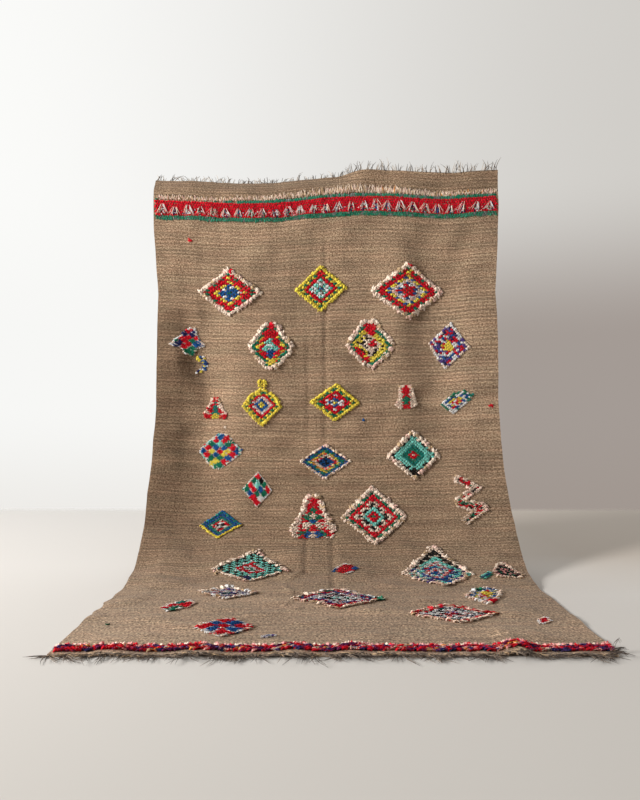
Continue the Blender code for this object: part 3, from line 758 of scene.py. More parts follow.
def crease_relief(crease, across, along):
    """Height of one crease, which fades out sideways and towards both of its ends."""
    (x0, y0), (x1, y1) = crease.start, crease.end
    dx = x1 - x0
    dy = y1 - y0
    share = ((across - x0) * dx + (along - y0) * dy) / (dx * dx + dy * dy)
    nearest = np.clip(share, 0, 1)
    distance = np.hypot(across - x0 - dx * nearest, along - y0 - dy * nearest)
    ends = bump(np.abs(2 * share - 1) ** CREASE_END_POWER * CREASE_END_REACH)
    return crease.height * bump(distance / crease.half_width) * ends


def patch_at(patch, across, along):
    """How much of a fold or of a patch of painted light and shade lies at each place, from 0 to 1 in its
    middle.
    """
    sideways_share = bump((across - patch.across) / patch.half_across)
    return sideways_share * bump((along - patch.along) / patch.half_along)


def relief(across, along):
    """Height of all folds, creases and slow waves together."""
    total = np.zeros_like(across)
    for fold in FOLDS:
        total = total + fold.height * patch_at(fold, across, along)
    for crease in CREASES:
        total = total + crease_relief(crease, across, along)
    for to_right, down, phase, size in WAVES:
        total = total + size * np.sin(2 * np.pi * (to_right * across + down * along) + phase)
    return total


def sideways(across, along):
    """Distance to the right of the rug's middle line, with the gather and both edges."""
    narrowing = np.interp(along, [row.along for row in GATHER], [row.share for row in GATHER])
    x = across * (1 - narrowing) + FLOOR_DRIFT * smooth((along - DRIFT_START) / DRIFT_LENGTH)
    middle = (EDGE_WAVE_START + EDGE_WAVE_END) / 2
    window = bump((along - middle) / (EDGE_WAVE_END - middle))
    wave = np.sin(2 * np.pi * along / EDGE_WAVE_PITCH)
    edge = EDGE_WAVE * wave * window * (across / HALF_WIDTH) ** EDGE_WAVE_REACH
    places = [row.along for row in EDGE_REACH]
    left = np.interp(along, places, [row.left for row in EDGE_REACH])
    right = np.interp(along, places, [row.right for row in EDGE_REACH])
    further = np.where(across < 0, -left, right) * (across / HALF_WIDTH) ** EDGE_REACH_POWER
    return x + np.where(across < 0, edge, 0) + further


def back_points(across, along):
    """The underside of the cloth in space, one row for each place on the rug."""
    across = np.asarray(across, float)
    along = np.asarray(along, float)
    lowered = along + slack(across, along)
    forward = np.interp(lowered, ALONG, FORWARD)
    height = np.interp(lowered, ALONG, HEIGHT)
    angle = np.interp(lowered, ALONG, ANGLE)
    above = np.minimum(lowered, 0)
    beyond = np.maximum(lowered - RUG_LENGTH, 0)
    forward = forward + above * math.sin(HANG_LEAN) + beyond
    height = height - above * math.cos(HANG_LEAN)
    rolled = np.maximum(0.0, ROLL_DEPTH - along)
    rolled = rolled * rolled / (rolled + ROLL_SOFTNESS)
    turn = ROLL_ANGLE * (1 - smooth((across - along * ROLL_SLANT - ROLL_ENDS) / ROLL_FADE))
    raised = relief(across, along)
    forward = forward - rolled * np.sin(turn) + raised * np.cos(angle)
    height = height - rolled * (1 - np.cos(turn)) + raised * np.sin(angle)
    x = MIDDLE_X + sideways(across, along)
    return np.stack([x, HANGING_Y - forward, np.maximum(height, 0)], axis=-1)


def unit(vectors):
    return vectors / np.linalg.norm(vectors, axis=-1, keepdims=True)


def cloth_frames(across, along, reach=0.004):
    """The point on the underside, and unit vectors to the right, down the rug and out of its face."""
    across = np.asarray(across, float)
    along = np.asarray(along, float)
    right = unit(back_points(across + reach, along) - back_points(across - reach, along))
    down = unit(back_points(across, along + reach) - back_points(across, along - reach))
    out = unit(np.cross(down, right))
    return back_points(across, along), right, down, out


def linear(colour):
    """An 8-bit sRGB colour in linear light."""
    shares = [channel / 255 for channel in colour]
    return tuple(s / 12.92 if s <= 0.04045 else ((s + 0.055) / 1.055) ** 2.4 for s in shares)


def node_adder(tree):
    """A helper that adds a node to the tree, with what its sockets hold and its settings."""
    def add(kind, links=(), **settings):
        node = tree.nodes.new("ShaderNode" + kind)
        for key, value in settings.items():
            setattr(node, key, value)
        for socket, value in dict(links).items():
            if isinstance(value, bpy.types.NodeSocket):
                tree.links.new(value, node.inputs[socket])
            else:
                node.inputs[socket].default_value = value
        return node

    return add


def new_material(name, settings):
    """A material whose shader has these settings, with a helper that adds nodes."""
    material = bpy.data.materials.new(name)
    material.use_nodes = True
    tree = material.node_tree
    shader = tree.nodes["Principled BSDF"]
    for socket, value in settings.items():
        shader.inputs[socket].default_value = value
    return material, tree, shader, node_adder(tree)


def add_ramp(add, fac, stops):
    """A colour ramp from a list of places and colours."""
    node = add("ValToRGB", {"Fac": fac})
    elements = node.color_ramp.elements
    while len(elements) < len(stops):
        elements.new(0.5)
    for element, (position, colour) in zip(elements, stops):
        element.position = position
        element.color = (*colour, 1)
    return node.outputs["Color"]


def pile_yarn(name):
    """Knotted wool of one dye: each lock a little lighter or darker, with fine fibres."""
    material, tree, shader, add = new_material(name + "_wool", WOOL)
    colour = linear(YARNS[name])
    place = add("TexCoord").outputs["Object"]
    locks = add("TexNoise", {"Vector": place, "Scale": LOCK_SPOTS, "Detail": 2.0}).outputs["Fac"]
    fibres = add("TexNoise", {"Vector": place, "Scale": FIBRE_SPOTS, "Detail": 3.0}).outputs["Fac"]
    dark = tuple(channel * YARN_DARK for channel in colour)
    light = tuple(min(1.0, channel * YARN_LIGHT + YARN_GLOW) for channel in colour)
    tree.links.new(add_ramp(add, locks, ((0.32, dark), (0.66, light))), shader.inputs["Base Color"])
    rough = add("Bump", {"Height": fibres, "Strength": 0.4, "Distance": 0.001})
    tree.links.new(rough.outputs["Normal"], shader.inputs["Normal"])
    return material


def brown_weave():
    """Undyed brown wool, heathered along the weft, with fine ribs, slow bands of lighter and darker wool,
    and painted light and shade.

    The pattern follows the cloth: its UV map is in metres, across it and up from its front edge."""
    material, tree, shader, add = new_material("brown_weave_wool", WOOL)
    metres = add("UVMap", uv_map="cloth_metres").outputs["UV"]

    def stretched(across, along):
        return add("Mapping", {"Vector": metres, "Scale": (across, along, 1)}).outputs["Vector"]

    def noise(grain):
        place = stretched(grain.across, grain.along)
        return add("TexNoise", {"Vector": place, "Scale": 1.0, "Detail": grain.detail}).outputs["Fac"]

    def mixed(first, second, share, way):
        return add("Mix", {6: first, 7: second, 0: share}, data_type="RGBA", blend_type=way).outputs[2]

    def shaded(colour, shade):
        stops = ((shade.start, (shade.low,) * 3), (shade.end, (shade.high,) * 3))
        return mixed(colour, add_ramp(add, grains[shade.grain], stops), 1.0, "MULTIPLY")

    grains = {name: noise(grain) for name, grain in GRAINS.items()}
    grains["ribs"] = add("TexWave", {
        "Vector": stretched(RIB_STRETCH, 1), "Scale": RIB_SCALE,
        "Distortion": 1.0, "Detail": 2.0, "Detail Scale": 1.0,
    }, bands_direction="Y").outputs["Fac"]

    colour = add_ramp(add, grains["heather"], ((0.36, linear(WEAVE_DARK)), (0.64, linear(WEAVE_LIGHT))))
    hue = add_ramp(add, grains["warmth"], ((0.35, linear(WEAVE_WARM)), (0.70, linear(WEAVE_COOL))))
    colour = mixed(colour, hue, WARM_SHARE, "OVERLAY")
    for shade in SHADES:
        colour = shaded(colour, shade)

    up = add("SeparateXYZ", {"Vector": metres}).outputs["Y"]
    floor_range = {"Value": up, "From Min": FLOOR_GRAIN_START, "From Max": FLOOR_GRAIN_FULL}
    on_floor = add("MapRange", floor_range).outputs["Result"]
    colour = mixed(colour, shaded(colour, FLOOR_SHADE_GRAIN), on_floor, "MIX")
    # Tone along the rug: dye lots, with painted shade and a painted sheen
    length = add("MapRange", {"Value": up, "From Max": RUG_LENGTH}).outputs["Result"]
    dye_and_shade_stops = [
        (1 - dye_and_shade.along / RUG_LENGTH, tuple(dye_and_shade.shade ** power for power in SHADE_POWERS))
        for dye_and_shade in reversed(DYE_AND_SHADE_ALONG)
    ]
    colour = mixed(colour, add_ramp(add, length, dye_and_shade_stops), 1.0, "MULTIPLY")

    # Painted light and shade, read from the cloth's points, made warmer where darker
    patches = add("Attribute", attribute_name="painted_light_and_shade", attribute_type="GEOMETRY").outputs["Fac"]
    channels = {
        number: add("Math", {0: patches, 1: power}, operation="POWER").outputs[0]
        for number, power in enumerate(SHADE_POWERS)
    }
    colour = mixed(colour, add("CombineColor", channels).outputs[0], 1.0, "MULTIPLY")
    tree.links.new(colour, shader.inputs["Base Color"])

    normal = {}
    for rough in WEAVE_ROUGHNESS:
        height = {"Height": grains[rough.grain], "Strength": rough.strength, "Distance": rough.depth}
        normal = {"Normal": add("Bump", height | normal).outputs["Normal"]}
    tree.links.new(normal["Normal"], shader.inputs["Normal"])
    return material


def deselect_all():
    bpy.ops.object.select_all(action="DESELECT")


def finish_piece(piece, node, slot):
    """Put a piece in the place of its solid, hiding the solid, with its body; its slot is not used."""
    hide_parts(node)
    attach(piece, "root")
    return piece


def painted_light_and_shade(across, along):
    """Painted light and shade at each place: the patches, painted shade in the creases and painted light
    along the raised ones.
    """
    total = np.ones_like(across)
    for patch in PAINTED_PATCHES:
        total = total * (1 + patch.change * patch_at(patch, across, along))
    for crease in CREASES:
        total = total * (1 + CREASE_SHADE * crease_relief(crease, across, along))
    return total


def cloth_piece(name, start, end, columns, rows, thickness, material):
    """A strip of the rug between two places along it: a grid laid on the folds and given its thickness."""
    deselect_all()
    bpy.ops.mesh.primitive_grid_add(x_subdivisions=columns, y_subdivisions=rows, size=1, calc_uvs=True)
    piece = bpy.context.active_object
    piece.name = name
    piece.data.name = name
    mesh = piece.data
    flat = np.empty(len(mesh.vertices) * 3)
    mesh.vertices.foreach_get("co", flat)
    flat = flat.reshape(-1, 3)
    across = flat[:, 0] * RUG_WIDTH
    along = start + (0.5 - flat[:, 1]) * (end - start)
    mesh.vertices.foreach_set("co", back_points(across, along).ravel())
    # Painted light and shade of the patches and creases, kept on the cloth's points
    shades = mesh.attributes.new("painted_light_and_shade", "FLOAT", "POINT")
    shades.data.foreach_set("value", painted_light_and_shade(across, along))
    layer = mesh.uv_layers[0]
    layer.name = "cloth_metres"
    uv = np.empty(len(layer.uv) * 2)
    layer.uv.foreach_get("vector", uv)
    uv = uv.reshape(-1, 2)
    uv[:, 0] *= RUG_WIDTH
    uv[:, 1] = RUG_LENGTH - (start + (1 - uv[:, 1]) * (end - start))
    layer.uv.foreach_set("vector", uv.ravel())
    solidify = piece.modifiers.new("thickness", "SOLIDIFY")
    solidify.thickness = thickness
    solidify.offset = 1
    bpy.ops.object.modifier_apply(modifier=solidify.name)
    bpy.ops.object.shade_smooth_by_angle(angle=math.radians(50))
    mesh.materials.append(material)
    return piece


Shape = namedtuple("Shape", "points faces")
Laid = namedtuple("Laid", "across along yarn shape")


def model_thread(widths):
    """A thread one unit tall: a triangle of unit radius, extruded step by step to these widths."""
    deselect_all()
    bpy.ops.mesh.primitive_circle_add(vertices=3, radius=1, fill_type="NGON")
    thread = bpy.context.active_object
    bpy.ops.object.mode_set(mode="EDIT")
    bpy.ops.mesh.select_all(action="SELECT")
    step = 1 / len(widths)
    width = 1.0
    for number, wanted in enumerate(widths):
        bpy.ops.mesh.extrude_region_move(TRANSFORM_OT_translate={"value": (0, 0, step)})
        change = wanted / width
        centre = (0, 0, step * (number + 1))
        bpy.ops.transform.resize(value=(change, change, 1), center_override=centre)
        width = wanted
    bpy.ops.object.mode_set(mode="OBJECT")
    points = np.array([vertex.co[:] for vertex in thread.data.vertices])
    faces = [tuple(polygon.vertices) for polygon in thread.data.polygons]
    bpy.data.objects.remove(thread, do_unlink=True)
    return Shape(points, faces)


def joined(shapes):
    """All shapes as one, their points and faces in order."""
    points = []
    faces = []
    count = 0
    for shape in shapes:
        points.append(shape.points)
        faces += [tuple(index + count for index in face) for face in shape.faces]
        count += len(shape.points)
    return Shape(np.concatenate(points), faces)


def turned(points, angle):
    """Points turned in the plane of the cloth, from down the rug towards its left."""
    x = points[:, 0] * math.cos(angle) - points[:, 1] * math.sin(angle)
    y = points[:, 0] * math.sin(angle) + points[:, 1] * math.cos(angle)
    return np.stack([x, y, points[:, 2]], axis=1)


def lock_of(thread, ends, draws):
    """A lock one unit wide, long and high: yarn ends that lean down the rug and fan out over one cell."""
    share = thread.points[:, 2]
    copies = []
    for number in range(ends):
        place = (number + 0.5) / ends - 0.5
        radius = LOCK_END_RADIUS * draws.uniform(0.85, 1.2)
        length = draws.uniform(0.50, 0.80)
        start = draws.uniform(-0.42, -0.20)
        drift = draws.uniform(-0.10, 0.10)
        spread = LOCK_ROOT_SPREAD + LOCK_FAN * share
        x = place * spread + drift * share + thread.points[:, 0] * radius
        y = start + length * share ** 1.5 + thread.points[:, 1] * radius
        z = draws.uniform(0.8, 1.15) * (1 - (1 - share) ** 2)
        copies.append(Shape(np.stack([x, y, z], axis=1), thread.faces))
    return joined(copies)


Tuft = namedtuple("Tuft", "across along yarn width length turn lift")


def sized_tuft(across, along, yarn, size, turn=0.0):
    return Tuft(across, along, yarn, size.width, size.length, turn, size.lift)


def laid_tuft(tuft, locks, draws):
    """One lock of pile, sized for its cell, with a little disorder."""
    lock = draws.choice(locks["full" if tuft.width > SMALL_LOCK else "small"])
    size = draws.uniform(0.92, 1.12)
    height = LOCK_HEIGHT * min(1.0, tuft.width / LOCK_FULL_WIDTH) ** 0.5
    height *= tuft.lift * draws.uniform(0.85, 1.15)
    points = lock.points * [tuft.width * size, tuft.length * size, height]
    points = turned(points, tuft.turn + draws.uniform(-0.22, 0.22))
    return Laid(tuft.across, tuft.along, tuft.yarn, Shape(points, lock.faces))


Strand = namedtuple("Strand", "across along yarn reach radius turn curl rise lift", defaults=(0.002,))


def laid_strand(strand, thread):
    """A loose end that leaves its root down the rug, or turned from there, and curls and rises."""
    share = thread.points[:, 2]
    x = strand.curl * strand.reach * share * share + thread.points[:, 0] * strand.radius
    y = strand.reach * share
    arc = strand.rise * strand.reach * np.sin(np.pi * share * 0.75)
    z = strand.lift + arc + thread.points[:, 1] * strand.radius
    points = turned(np.stack([x, y, z], axis=1), strand.turn)
    return Laid(strand.across, strand.along, strand.yarn, Shape(points, thread.faces))


def laid_piece(name, laid, yarns, level=WEAVE_THICKNESS - LOCK_SINK, floor=0.0):
    """All the locks and threads of one piece as one mesh, each on its own place and in its own yarn."""
    names = sorted({item.yarn for item in laid})
    places = ([item.across for item in laid], [item.along for item in laid])
    origins, rights, downs, outs = cloth_frames(*places)
    shapes = []
    materials = []
    for item, origin, right, down, out in zip(laid, origins, rights, downs, outs):
        local = item.shape.points
        placed = origin + np.outer(local[:, 0], right) + np.outer(local[:, 1], down)
        placed += np.outer(local[:, 2] + level, out)
        placed[:, 2] = np.maximum(placed[:, 2], floor)
        shapes.append(Shape(placed, item.shape.faces))
        materials += [names.index(item.yarn)] * len(item.shape.faces)
    whole = joined(shapes)
    mesh = bpy.data.meshes.new(name)
    mesh.from_pydata(whole.points, [], whole.faces)
    for yarn in names:
        mesh.materials.append(yarns[yarn])
    mesh.polygons.foreach_set("material_index", materials)
    mesh.polygons.foreach_set("use_smooth", [True] * len(whole.faces))
    mesh.update()
    piece = bpy.data.objects.new(name, mesh)
    bpy.context.scene.collection.objects.link(piece)
    return piece


def is_inside(x, y, outline):
    """Whether a place lies within a closed outline."""
    inside = False
    for (x0, y0), (x1, y1) in zip(outline, outline[1:] + outline[:1]):
        if (y0 > y) != (y1 > y) and x < x0 + (y - y0) * (x1 - x0) / (y1 - y0):
            inside = not inside
    return inside


def distance_to(x, y, outline):
    """How far a place lies from the nearest side of a closed outline."""
    nearest = math.inf
    for (x0, y0), (x1, y1) in zip(outline, outline[1:] + outline[:1]):
        dx = x1 - x0
        dy = y1 - y0
        share = min(1.0, max(0.0, ((x - x0) * dx + (y - y0) * dy) / (dx * dx + dy * dy)))
        nearest = min(nearest, math.hypot(x0 + dx * share - x, y0 + dy * share - y))
    return nearest


def outline_of(piece, cell, base_drop=0.0):
    """The motif's outline in cells across and up from its middle."""
    points = []
    for right, up in SHAPES[piece.shape]:
        if up < -0.5:
            up -= base_drop
        points.append((right * piece.width / 2 / cell[0], up * piece.height / 2 / cell[1]))
    return points


def yarn_of(entry, column, row, upper, draws):
    """The yarn that a ring's entry gives: above or below the middle, in turns, or by chance."""
    if ">" in entry:
        above, below = entry.split(">")
        entry = above if upper else below
    if "~" in entry:
        turns = entry.split("~")
        turn = (column - row) // 2 - row
    else:
        turns = entry.split("/")
        turn = column
    return draws.choice(turns[turn % len(turns)].split("|"))


def spot_at(motif, right, up):
    """The spot that covers this place of a motif, given as shares of its half width and half height."""
    for spot in SPOTS.get(motif.node, ()):
        if math.hypot(right - spot.right, up - spot.up) < spot.reach:
            return spot
    return None


def on_the_floor(motif):
    """How far a motif lies on the floor, from 0 where it hangs to 1."""
    return float(smooth((motif.along - FLOOR_START) / FLOOR_FADE))


def placed_tuft(motif, x, y, yarn, cell, draws, size=1.0, tilt=0, turn=0.0):
    """A tuft this far right of and above the motif's middle, with a little disorder."""
    x += cell[0] * draws.uniform(-LOCK_DISORDER, LOCK_DISORDER)
    y += cell[1] * draws.uniform(-LOCK_DISORDER, LOCK_DISORDER)
    angle = math.radians(tilt)
    across = motif.across + x * math.cos(angle) - y * math.sin(angle)
    along = motif.along - x * math.sin(angle) - y * math.cos(angle) + FLOOR_LEAN * on_the_floor(motif)
    lift = 1 - FLOOR_FLATTENING * on_the_floor(motif)
    return Tuft(across, along, yarn, cell[0] * size, cell[1] * size, turn, lift)


def rim_tufts(motif, draws):
    """Bulky, unruly tufts all along the edge of a motif."""
    entry = motif.rings.split()[0]
    width = min(RIM_WIDTH, RIM_PART * min(motif.width, motif.height))
    if motif.node in SLIM_RIMS:
        width *= SLIM_RIM
    place = 1.0 if motif.shape in NARROW_SHAPES else RIM_PLACE
    corners = SHAPES[motif.shape]
    tufts = []
    for (x0, y0), (x1, y1) in zip(corners, corners[1:] + corners[:1]):
        if motif.shape in OPEN_BASES and max(y0, y1) < BASE_LEVEL:
            continue
        length = math.hypot((x1 - x0) * motif.width, (y1 - y0) * motif.height) / 2
        count = max(1, round(length / (width * RIM_SPACING)))
        for number in range(count):
            share = (number + draws.uniform(0.2, 0.8)) / count
            right = (x0 + (x1 - x0) * share) * place
            up = (y0 + (y1 - y0) * share) * place
            spot = spot_at(motif, right, up)
            yarn = spot.yarn if spot else yarn_of(entry, number, 0, up > 0, draws)
            if yarn == "cream":
                yarn = draws.choice(RIM_YARNS)
            turn = draws.uniform(-0.9, 0.9)
            if up > 0 and draws.random() < RIM_TURNED_BACK:
                turn += math.pi
            size = draws.uniform(0.75, 1.25)
            x = right * motif.width / 2
            y = up * motif.height / 2
            cell = (width, width * RIM_LENGTH)
            tuft = placed_tuft(motif, x, y, yarn, cell, draws, size, motif.tilt, turn)
            tufts.append(tuft._replace(lift=tuft.lift * draws.uniform(1.1, 1.6)))
    return tufts


def ringed_tufts(motif, draws):
    """Tufts in rings, on a lattice of cells whose rows are shifted by half a cell."""
    rings = motif.rings.split()
    side = 2 * len(rings) - 1
    cell = motif.cell or (motif.width / side, motif.height / side)
    outline = outline_of(motif, cell)
    closed = outline_of(motif, cell, OPEN_BASE_DROP if motif.shape in OPEN_BASES else 0.0)
    inset = NARROW_INSET if motif.shape in NARROW_SHAPES else RIM_INSET
    reach_across = math.ceil(motif.width / cell[0])
    reach_up = math.ceil(motif.height / cell[1])
    tufts = [] if motif.node in PLAIN_RIMS else rim_tufts(motif, draws)
    for row in range(reach_up, -reach_up - 1, -1):
        for column in range(-reach_across, reach_across + 1):
            x = column / 2
            y = row / 2
            if (row + column) % 2 or not is_inside(x, y, outline) or distance_to(x, y, outline) < inset:
                continue
            depth = distance_to(x, y, closed) * math.sqrt(2)
            ring = min(len(rings) - 1, math.floor(depth + 0.01))
            spot = spot_at(motif, x * cell[0] / (motif.width / 2), y * cell[1] / (motif.height / 2))
            if spot is None and "|" in rings[ring] and cell[0] > MIXED_CELL:
                for shift in (-MIXED_SHIFT, MIXED_SHIFT):
                    yarn = yarn_of(rings[ring], column, row, y > 0, draws)
                    place = ((x + shift) * cell[0], (y + draws.uniform(-0.2, 0.2)) * cell[1])
                    tufts.append(placed_tuft(motif, *place, yarn, cell, draws, MIXED_SIZE, motif.tilt))
                continue
            yarn = spot.yarn if spot else yarn_of(rings[ring], column, row, y > 0, draws)
            tufts.append(placed_tuft(motif, x * cell[0], y * cell[1], yarn, cell, draws, 1.0, motif.tilt))
    return tufts


def chequered_tufts(motif, draws):
    """Tufts in diagonal blocks, parted by thin lines of a light yarn and edged with it."""
    count = len(motif.blocks)
    light = motif.line.split("|")
    side = BLOCK_CELLS * count + 1
    cell = (motif.width / side, motif.height / side)
    outline = outline_of(motif, cell)
    tufts = []
    for to_right in range(-side, 2 * side):
        for to_left in range(-side, 2 * side):
            x = (to_right - to_left) / 2
            y = (side - 1 - to_right - to_left) / 2
            if not is_inside(x, y, outline):
                continue
            row = min(count - 1, max(0, to_left // BLOCK_CELLS))
            place = min(count - 1, max(0, to_right // BLOCK_CELLS))
            on_line = to_right % BLOCK_CELLS == 0 or to_left % BLOCK_CELLS == 0
            on_rim = distance_to(x, y, outline) < BLOCK_RIM
            turn = 0.0
            if on_rim and draws.random() < BLOCK_RIM_SHARE:
                yarn = draws.choice(light)
                size = draws.uniform(0.9, 1.5)
                turn = draws.uniform(-1.2, 1.2)
            elif on_line and draws.random() < BLOCK_LINE_SHARE:
                yarn = draws.choice(light)
                size = draws.uniform(0.9, 1.3)
            else:
                yarn = LETTERS[motif.blocks[row][place]]
                size = draws.uniform(1.3, 1.9)
            tufts.append(placed_tuft(motif, x * cell[0], y * cell[1], yarn, cell, draws, size, turn=turn))
    return tufts


def rows_of(start, end, rows, pitch, draws):
    """Places in rows from edge to edge, every second row shifted by half a pitch."""
    for row in range(rows):
        along = start + (end - start) * (row + 0.5) / rows
        count = round(2 * BAND_REACH / pitch)
        for number in range(count):
            across = -BAND_REACH + 2 * BAND_REACH * (number + 0.25 + 0.5 * (row % 2)) / count
            yield across + draws.uniform(-0.15, 0.15) * pitch, along + draws.uniform(-0.1, 0.1) * pitch


def line_tufts(band, rows, draws):
    """A thin line of short green locks, a few of them darker or grey."""
    start, end = band
    tufts = []
    for across, along in rows_of(start, end, rows, LINE_PITCH, draws):
        length = (end - start) / rows * draws.uniform(1.4, 2.2)
        yarn = draws.choice(LINE_YARNS)
        tufts.append(Tuft(across, along, yarn, LINE_WIDTH, length, draws.uniform(-0.5, 0.5), LINE_LIFT))
    return tufts


def line_share(across):
    """How much of the green line there is: all of it, but for the stretch on the left."""
    return float(smooth((across - LINE_START) / LINE_FADE))


def cream_strip(thread, draws):
    """Upright cream ends along the top band, a little lower on the left and longest right of the middle."""
    laid = []
    for number in range(CREAM_ENDS):
        across = -BAND_REACH + 2 * BAND_REACH * (number + draws.random()) / CREAM_ENDS
        tall = CREAM_LENGTH + CREAM_EXTRA * float(bump((across - CREAM_PEAK) / CREAM_PEAK_REACH))
        lower = CREAM_DROP * (1 - line_share(across))
        accent = "orange" if across > ORANGE_START and draws.random() < ORANGE_SHARE else "tan"
        yarn = draws.choice(("cream", "cream", "cream", "blush", "tan", accent))
        laid.append(laid_strand(Strand(
            across, draws.uniform(*CREAM_FEET) + lower, yarn, tall * draws.uniform(0.4, 1.2), CREAM_RADIUS,
            turn=math.pi + draws.uniform(-0.45, 0.45), curl=draws.uniform(-0.2, 0.2), rise=0.25,
        ), thread))
    return laid


def fleck(middle, pitch, locks, thread, draws):
    """A pale pointed peak with a dark core and pale feet, in the red band."""
    start, end = RED_BAND
    laid = []
    further_right = float(smooth((middle - FLECK_LEAN_START) / FLECK_LEAN_FADE))
    lean = draws.uniform(-0.25, 0.35) - FLECK_LEAN * further_right
    top = start + draws.uniform(0.08, 0.42) * (end - start)
    core = draws.choice(FLECK_CORES)
    for _ in range(CORE_TUFTS):
        place = (middle + draws.uniform(-0.012, 0.012), end - draws.uniform(0.003, 0.036))
        yarn = draws.choice((core, core, core, "white", "green"))
        laid.append(laid_tuft(sized_tuft(*place, yarn, CORE_TUFT), locks, draws))
    for side in (-1, 1):
        for _ in range(draws.randint(3, 5)):
            reach = (end - top) * draws.uniform(0.50, 1.00)
            begin = top + draws.uniform(0.3, 1.0) * (end - top - reach) + 0.003
            yarn = draws.choice(FLECK_STRANDS)
            laid.append(laid_strand(Strand(
                middle + side * draws.uniform(0.001, 0.010), begin, yarn, reach,
                draws.uniform(0.0010, 0.0016), turn=-side * draws.uniform(0.10, 0.55) - lean * 0.5,
                curl=draws.uniform(-0.2, 0.2), rise=0.12, lift=0.008,
            ), thread))
    for _ in range(FOOT_TUFTS):
        place = (middle + draws.uniform(-0.5, 0.5) * pitch, end - draws.uniform(0.002, 0.030))
        yarn = draws.choice(("white", "cream", "pink", core, "black"))
        laid.append(laid_tuft(sized_tuft(*place, yarn, FOOT_TUFT), locks, draws))
    return laid


def red_band(locks, thread, draws):
    """Red pile crossed by a row of flecks."""
    laid = []
    for across, along in rows_of(*RED_BAND, RED_ROWS, RED_PITCH, draws):
        laid.append(laid_tuft(sized_tuft(across, along, "red", RED_TUFT), locks, draws))
    pitch = 2 * BAND_REACH / FLECKS
    for number in range(FLECKS):
        middle = -BAND_REACH + pitch * (number + 0.5) + draws.uniform(-0.06, 0.06) * pitch
        laid += fleck(middle, pitch, locks, thread, draws)
    return laid


def front_band(locks, draws):
    """Clusters of red, purple and cream yarn in turn, with a pale pink upper edge."""
    start, end = FRONT_BAND
    laid = []
    place = -BAND_REACH
    number = 0
    while place < BAND_REACH:
        width = draws.uniform(0.022, 0.038)
        for row in range(FRONT_ROWS):
            mix = FRONT_MIXES[(number + row + draws.choice((0, 0, 1))) % len(FRONT_MIXES)]
            for _ in range(FRONT_CLUSTER):
                across = min(BAND_REACH, place + width * draws.uniform(0.0, 1.0))
                share = (row + draws.uniform(0.1, 0.9)) / FRONT_ROWS
                along = start + FRONT_ROWS_START + (end - start - FRONT_ROWS_ROOM) * share
                turn = draws.uniform(-1.1, 0.7)
                tuft = sized_tuft(across, along, draws.choice(mix), FRONT_TUFT, turn)
                laid.append(laid_tuft(tuft, locks, draws))
        for _ in range(FRONT_EDGE_TUFTS):
            across = min(BAND_REACH, place + width * draws.uniform(0.0, 1.0))
            along = start + draws.uniform(0.004, 0.012)
            tuft = sized_tuft(across, along, draws.choice(FRONT_EDGE_YARNS), FRONT_EDGE_TUFT, math.pi)
            laid.append(laid_tuft(tuft, locks, draws))
        place += width
        number += 1
    return laid


def stray_marks(locks, draws):
    """Small marks apart from the motifs, each of a few tufts."""
    laid = []
    for mark in MARKS:
        for _ in range(mark.count):
            across = mark.across + draws.uniform(-1, 1) * mark.spread
            along = mark.along + draws.uniform(-1, 1) * mark.spread
            laid.append(laid_tuft(sized_tuft(across, along, mark.yarn, MARK_TUFT), locks, draws))
    return laid


def top_ends(thread, draws):
    """Loose warp ends above the top edge, in small combed groups with spaces between them."""
    laid = []
    across = -TOP_REACH
    while across < TOP_REACH:
        count = draws.randint(2, 8)
        lean = draws.uniform(-0.45, 0.45)
        tall = draws.uniform(0.034, 0.058)
        for number in range(count):
            root = across + number * draws.uniform(0.003, 0.006)
            if root > END_REACH:
                break
            laid.append(laid_strand(Strand(
                root, TOP_ROOT, draws.choice(TOP_YARNS), tall * draws.uniform(0.6, 1.2),
                draws.uniform(0.0013, 0.0021), turn=math.pi + lean + draws.uniform(-0.25, 0.25),
                curl=draws.uniform(-0.5, 0.5), rise=draws.uniform(-0.1, 0.3),
            ), thread))
        across += count * TOP_STEP + draws.choice(TOP_SPACES)
    return laid


def matted_ends(thread, draws):
    """Short warp ends that lie matted together along the front edge."""
    laid = []
    for _ in range(MATTED_ENDS):
        root = draws.uniform(-END_REACH, END_REACH)
        laid.append(laid_strand(Strand(
            root, RUG_LENGTH + draws.uniform(-0.004, 0.008), draws.choice(MATTED_YARNS),
            draws.uniform(0.014, 0.036), draws.uniform(0.0010, 0.0017), turn=draws.uniform(-1.3, 1.3),
            curl=draws.uniform(-0.8, 0.8), rise=draws.uniform(0.0, 0.20), lift=draws.uniform(-0.002, 0.002),
        ), thread))
    return laid


def long_ends(thread, draws):
    """Long warp ends on the floor, in small groups that each lean one way."""
    laid = []
    across = -END_REACH
    while across < END_REACH:
        lean = draws.uniform(-0.7, 0.9)
        full = draws.uniform(0.035, 0.085)
        for _ in range(draws.randint(2, 7)):
            root = min(END_REACH, max(-END_REACH, across + draws.uniform(-0.007, 0.007)))
            laid.append(laid_strand(Strand(
                root, RUG_LENGTH + 0.004, draws.choice(LONG_YARNS), full * draws.uniform(0.6, 1.15),
                draws.uniform(0.0009, 0.0015), turn=-lean + draws.uniform(-0.4, 0.4),
                curl=draws.uniform(-0.8, 0.8), rise=draws.uniform(0.0, 0.12), lift=-0.002,
            ), thread))
        across += draws.choice(FRONT_SPACES)
    return laid


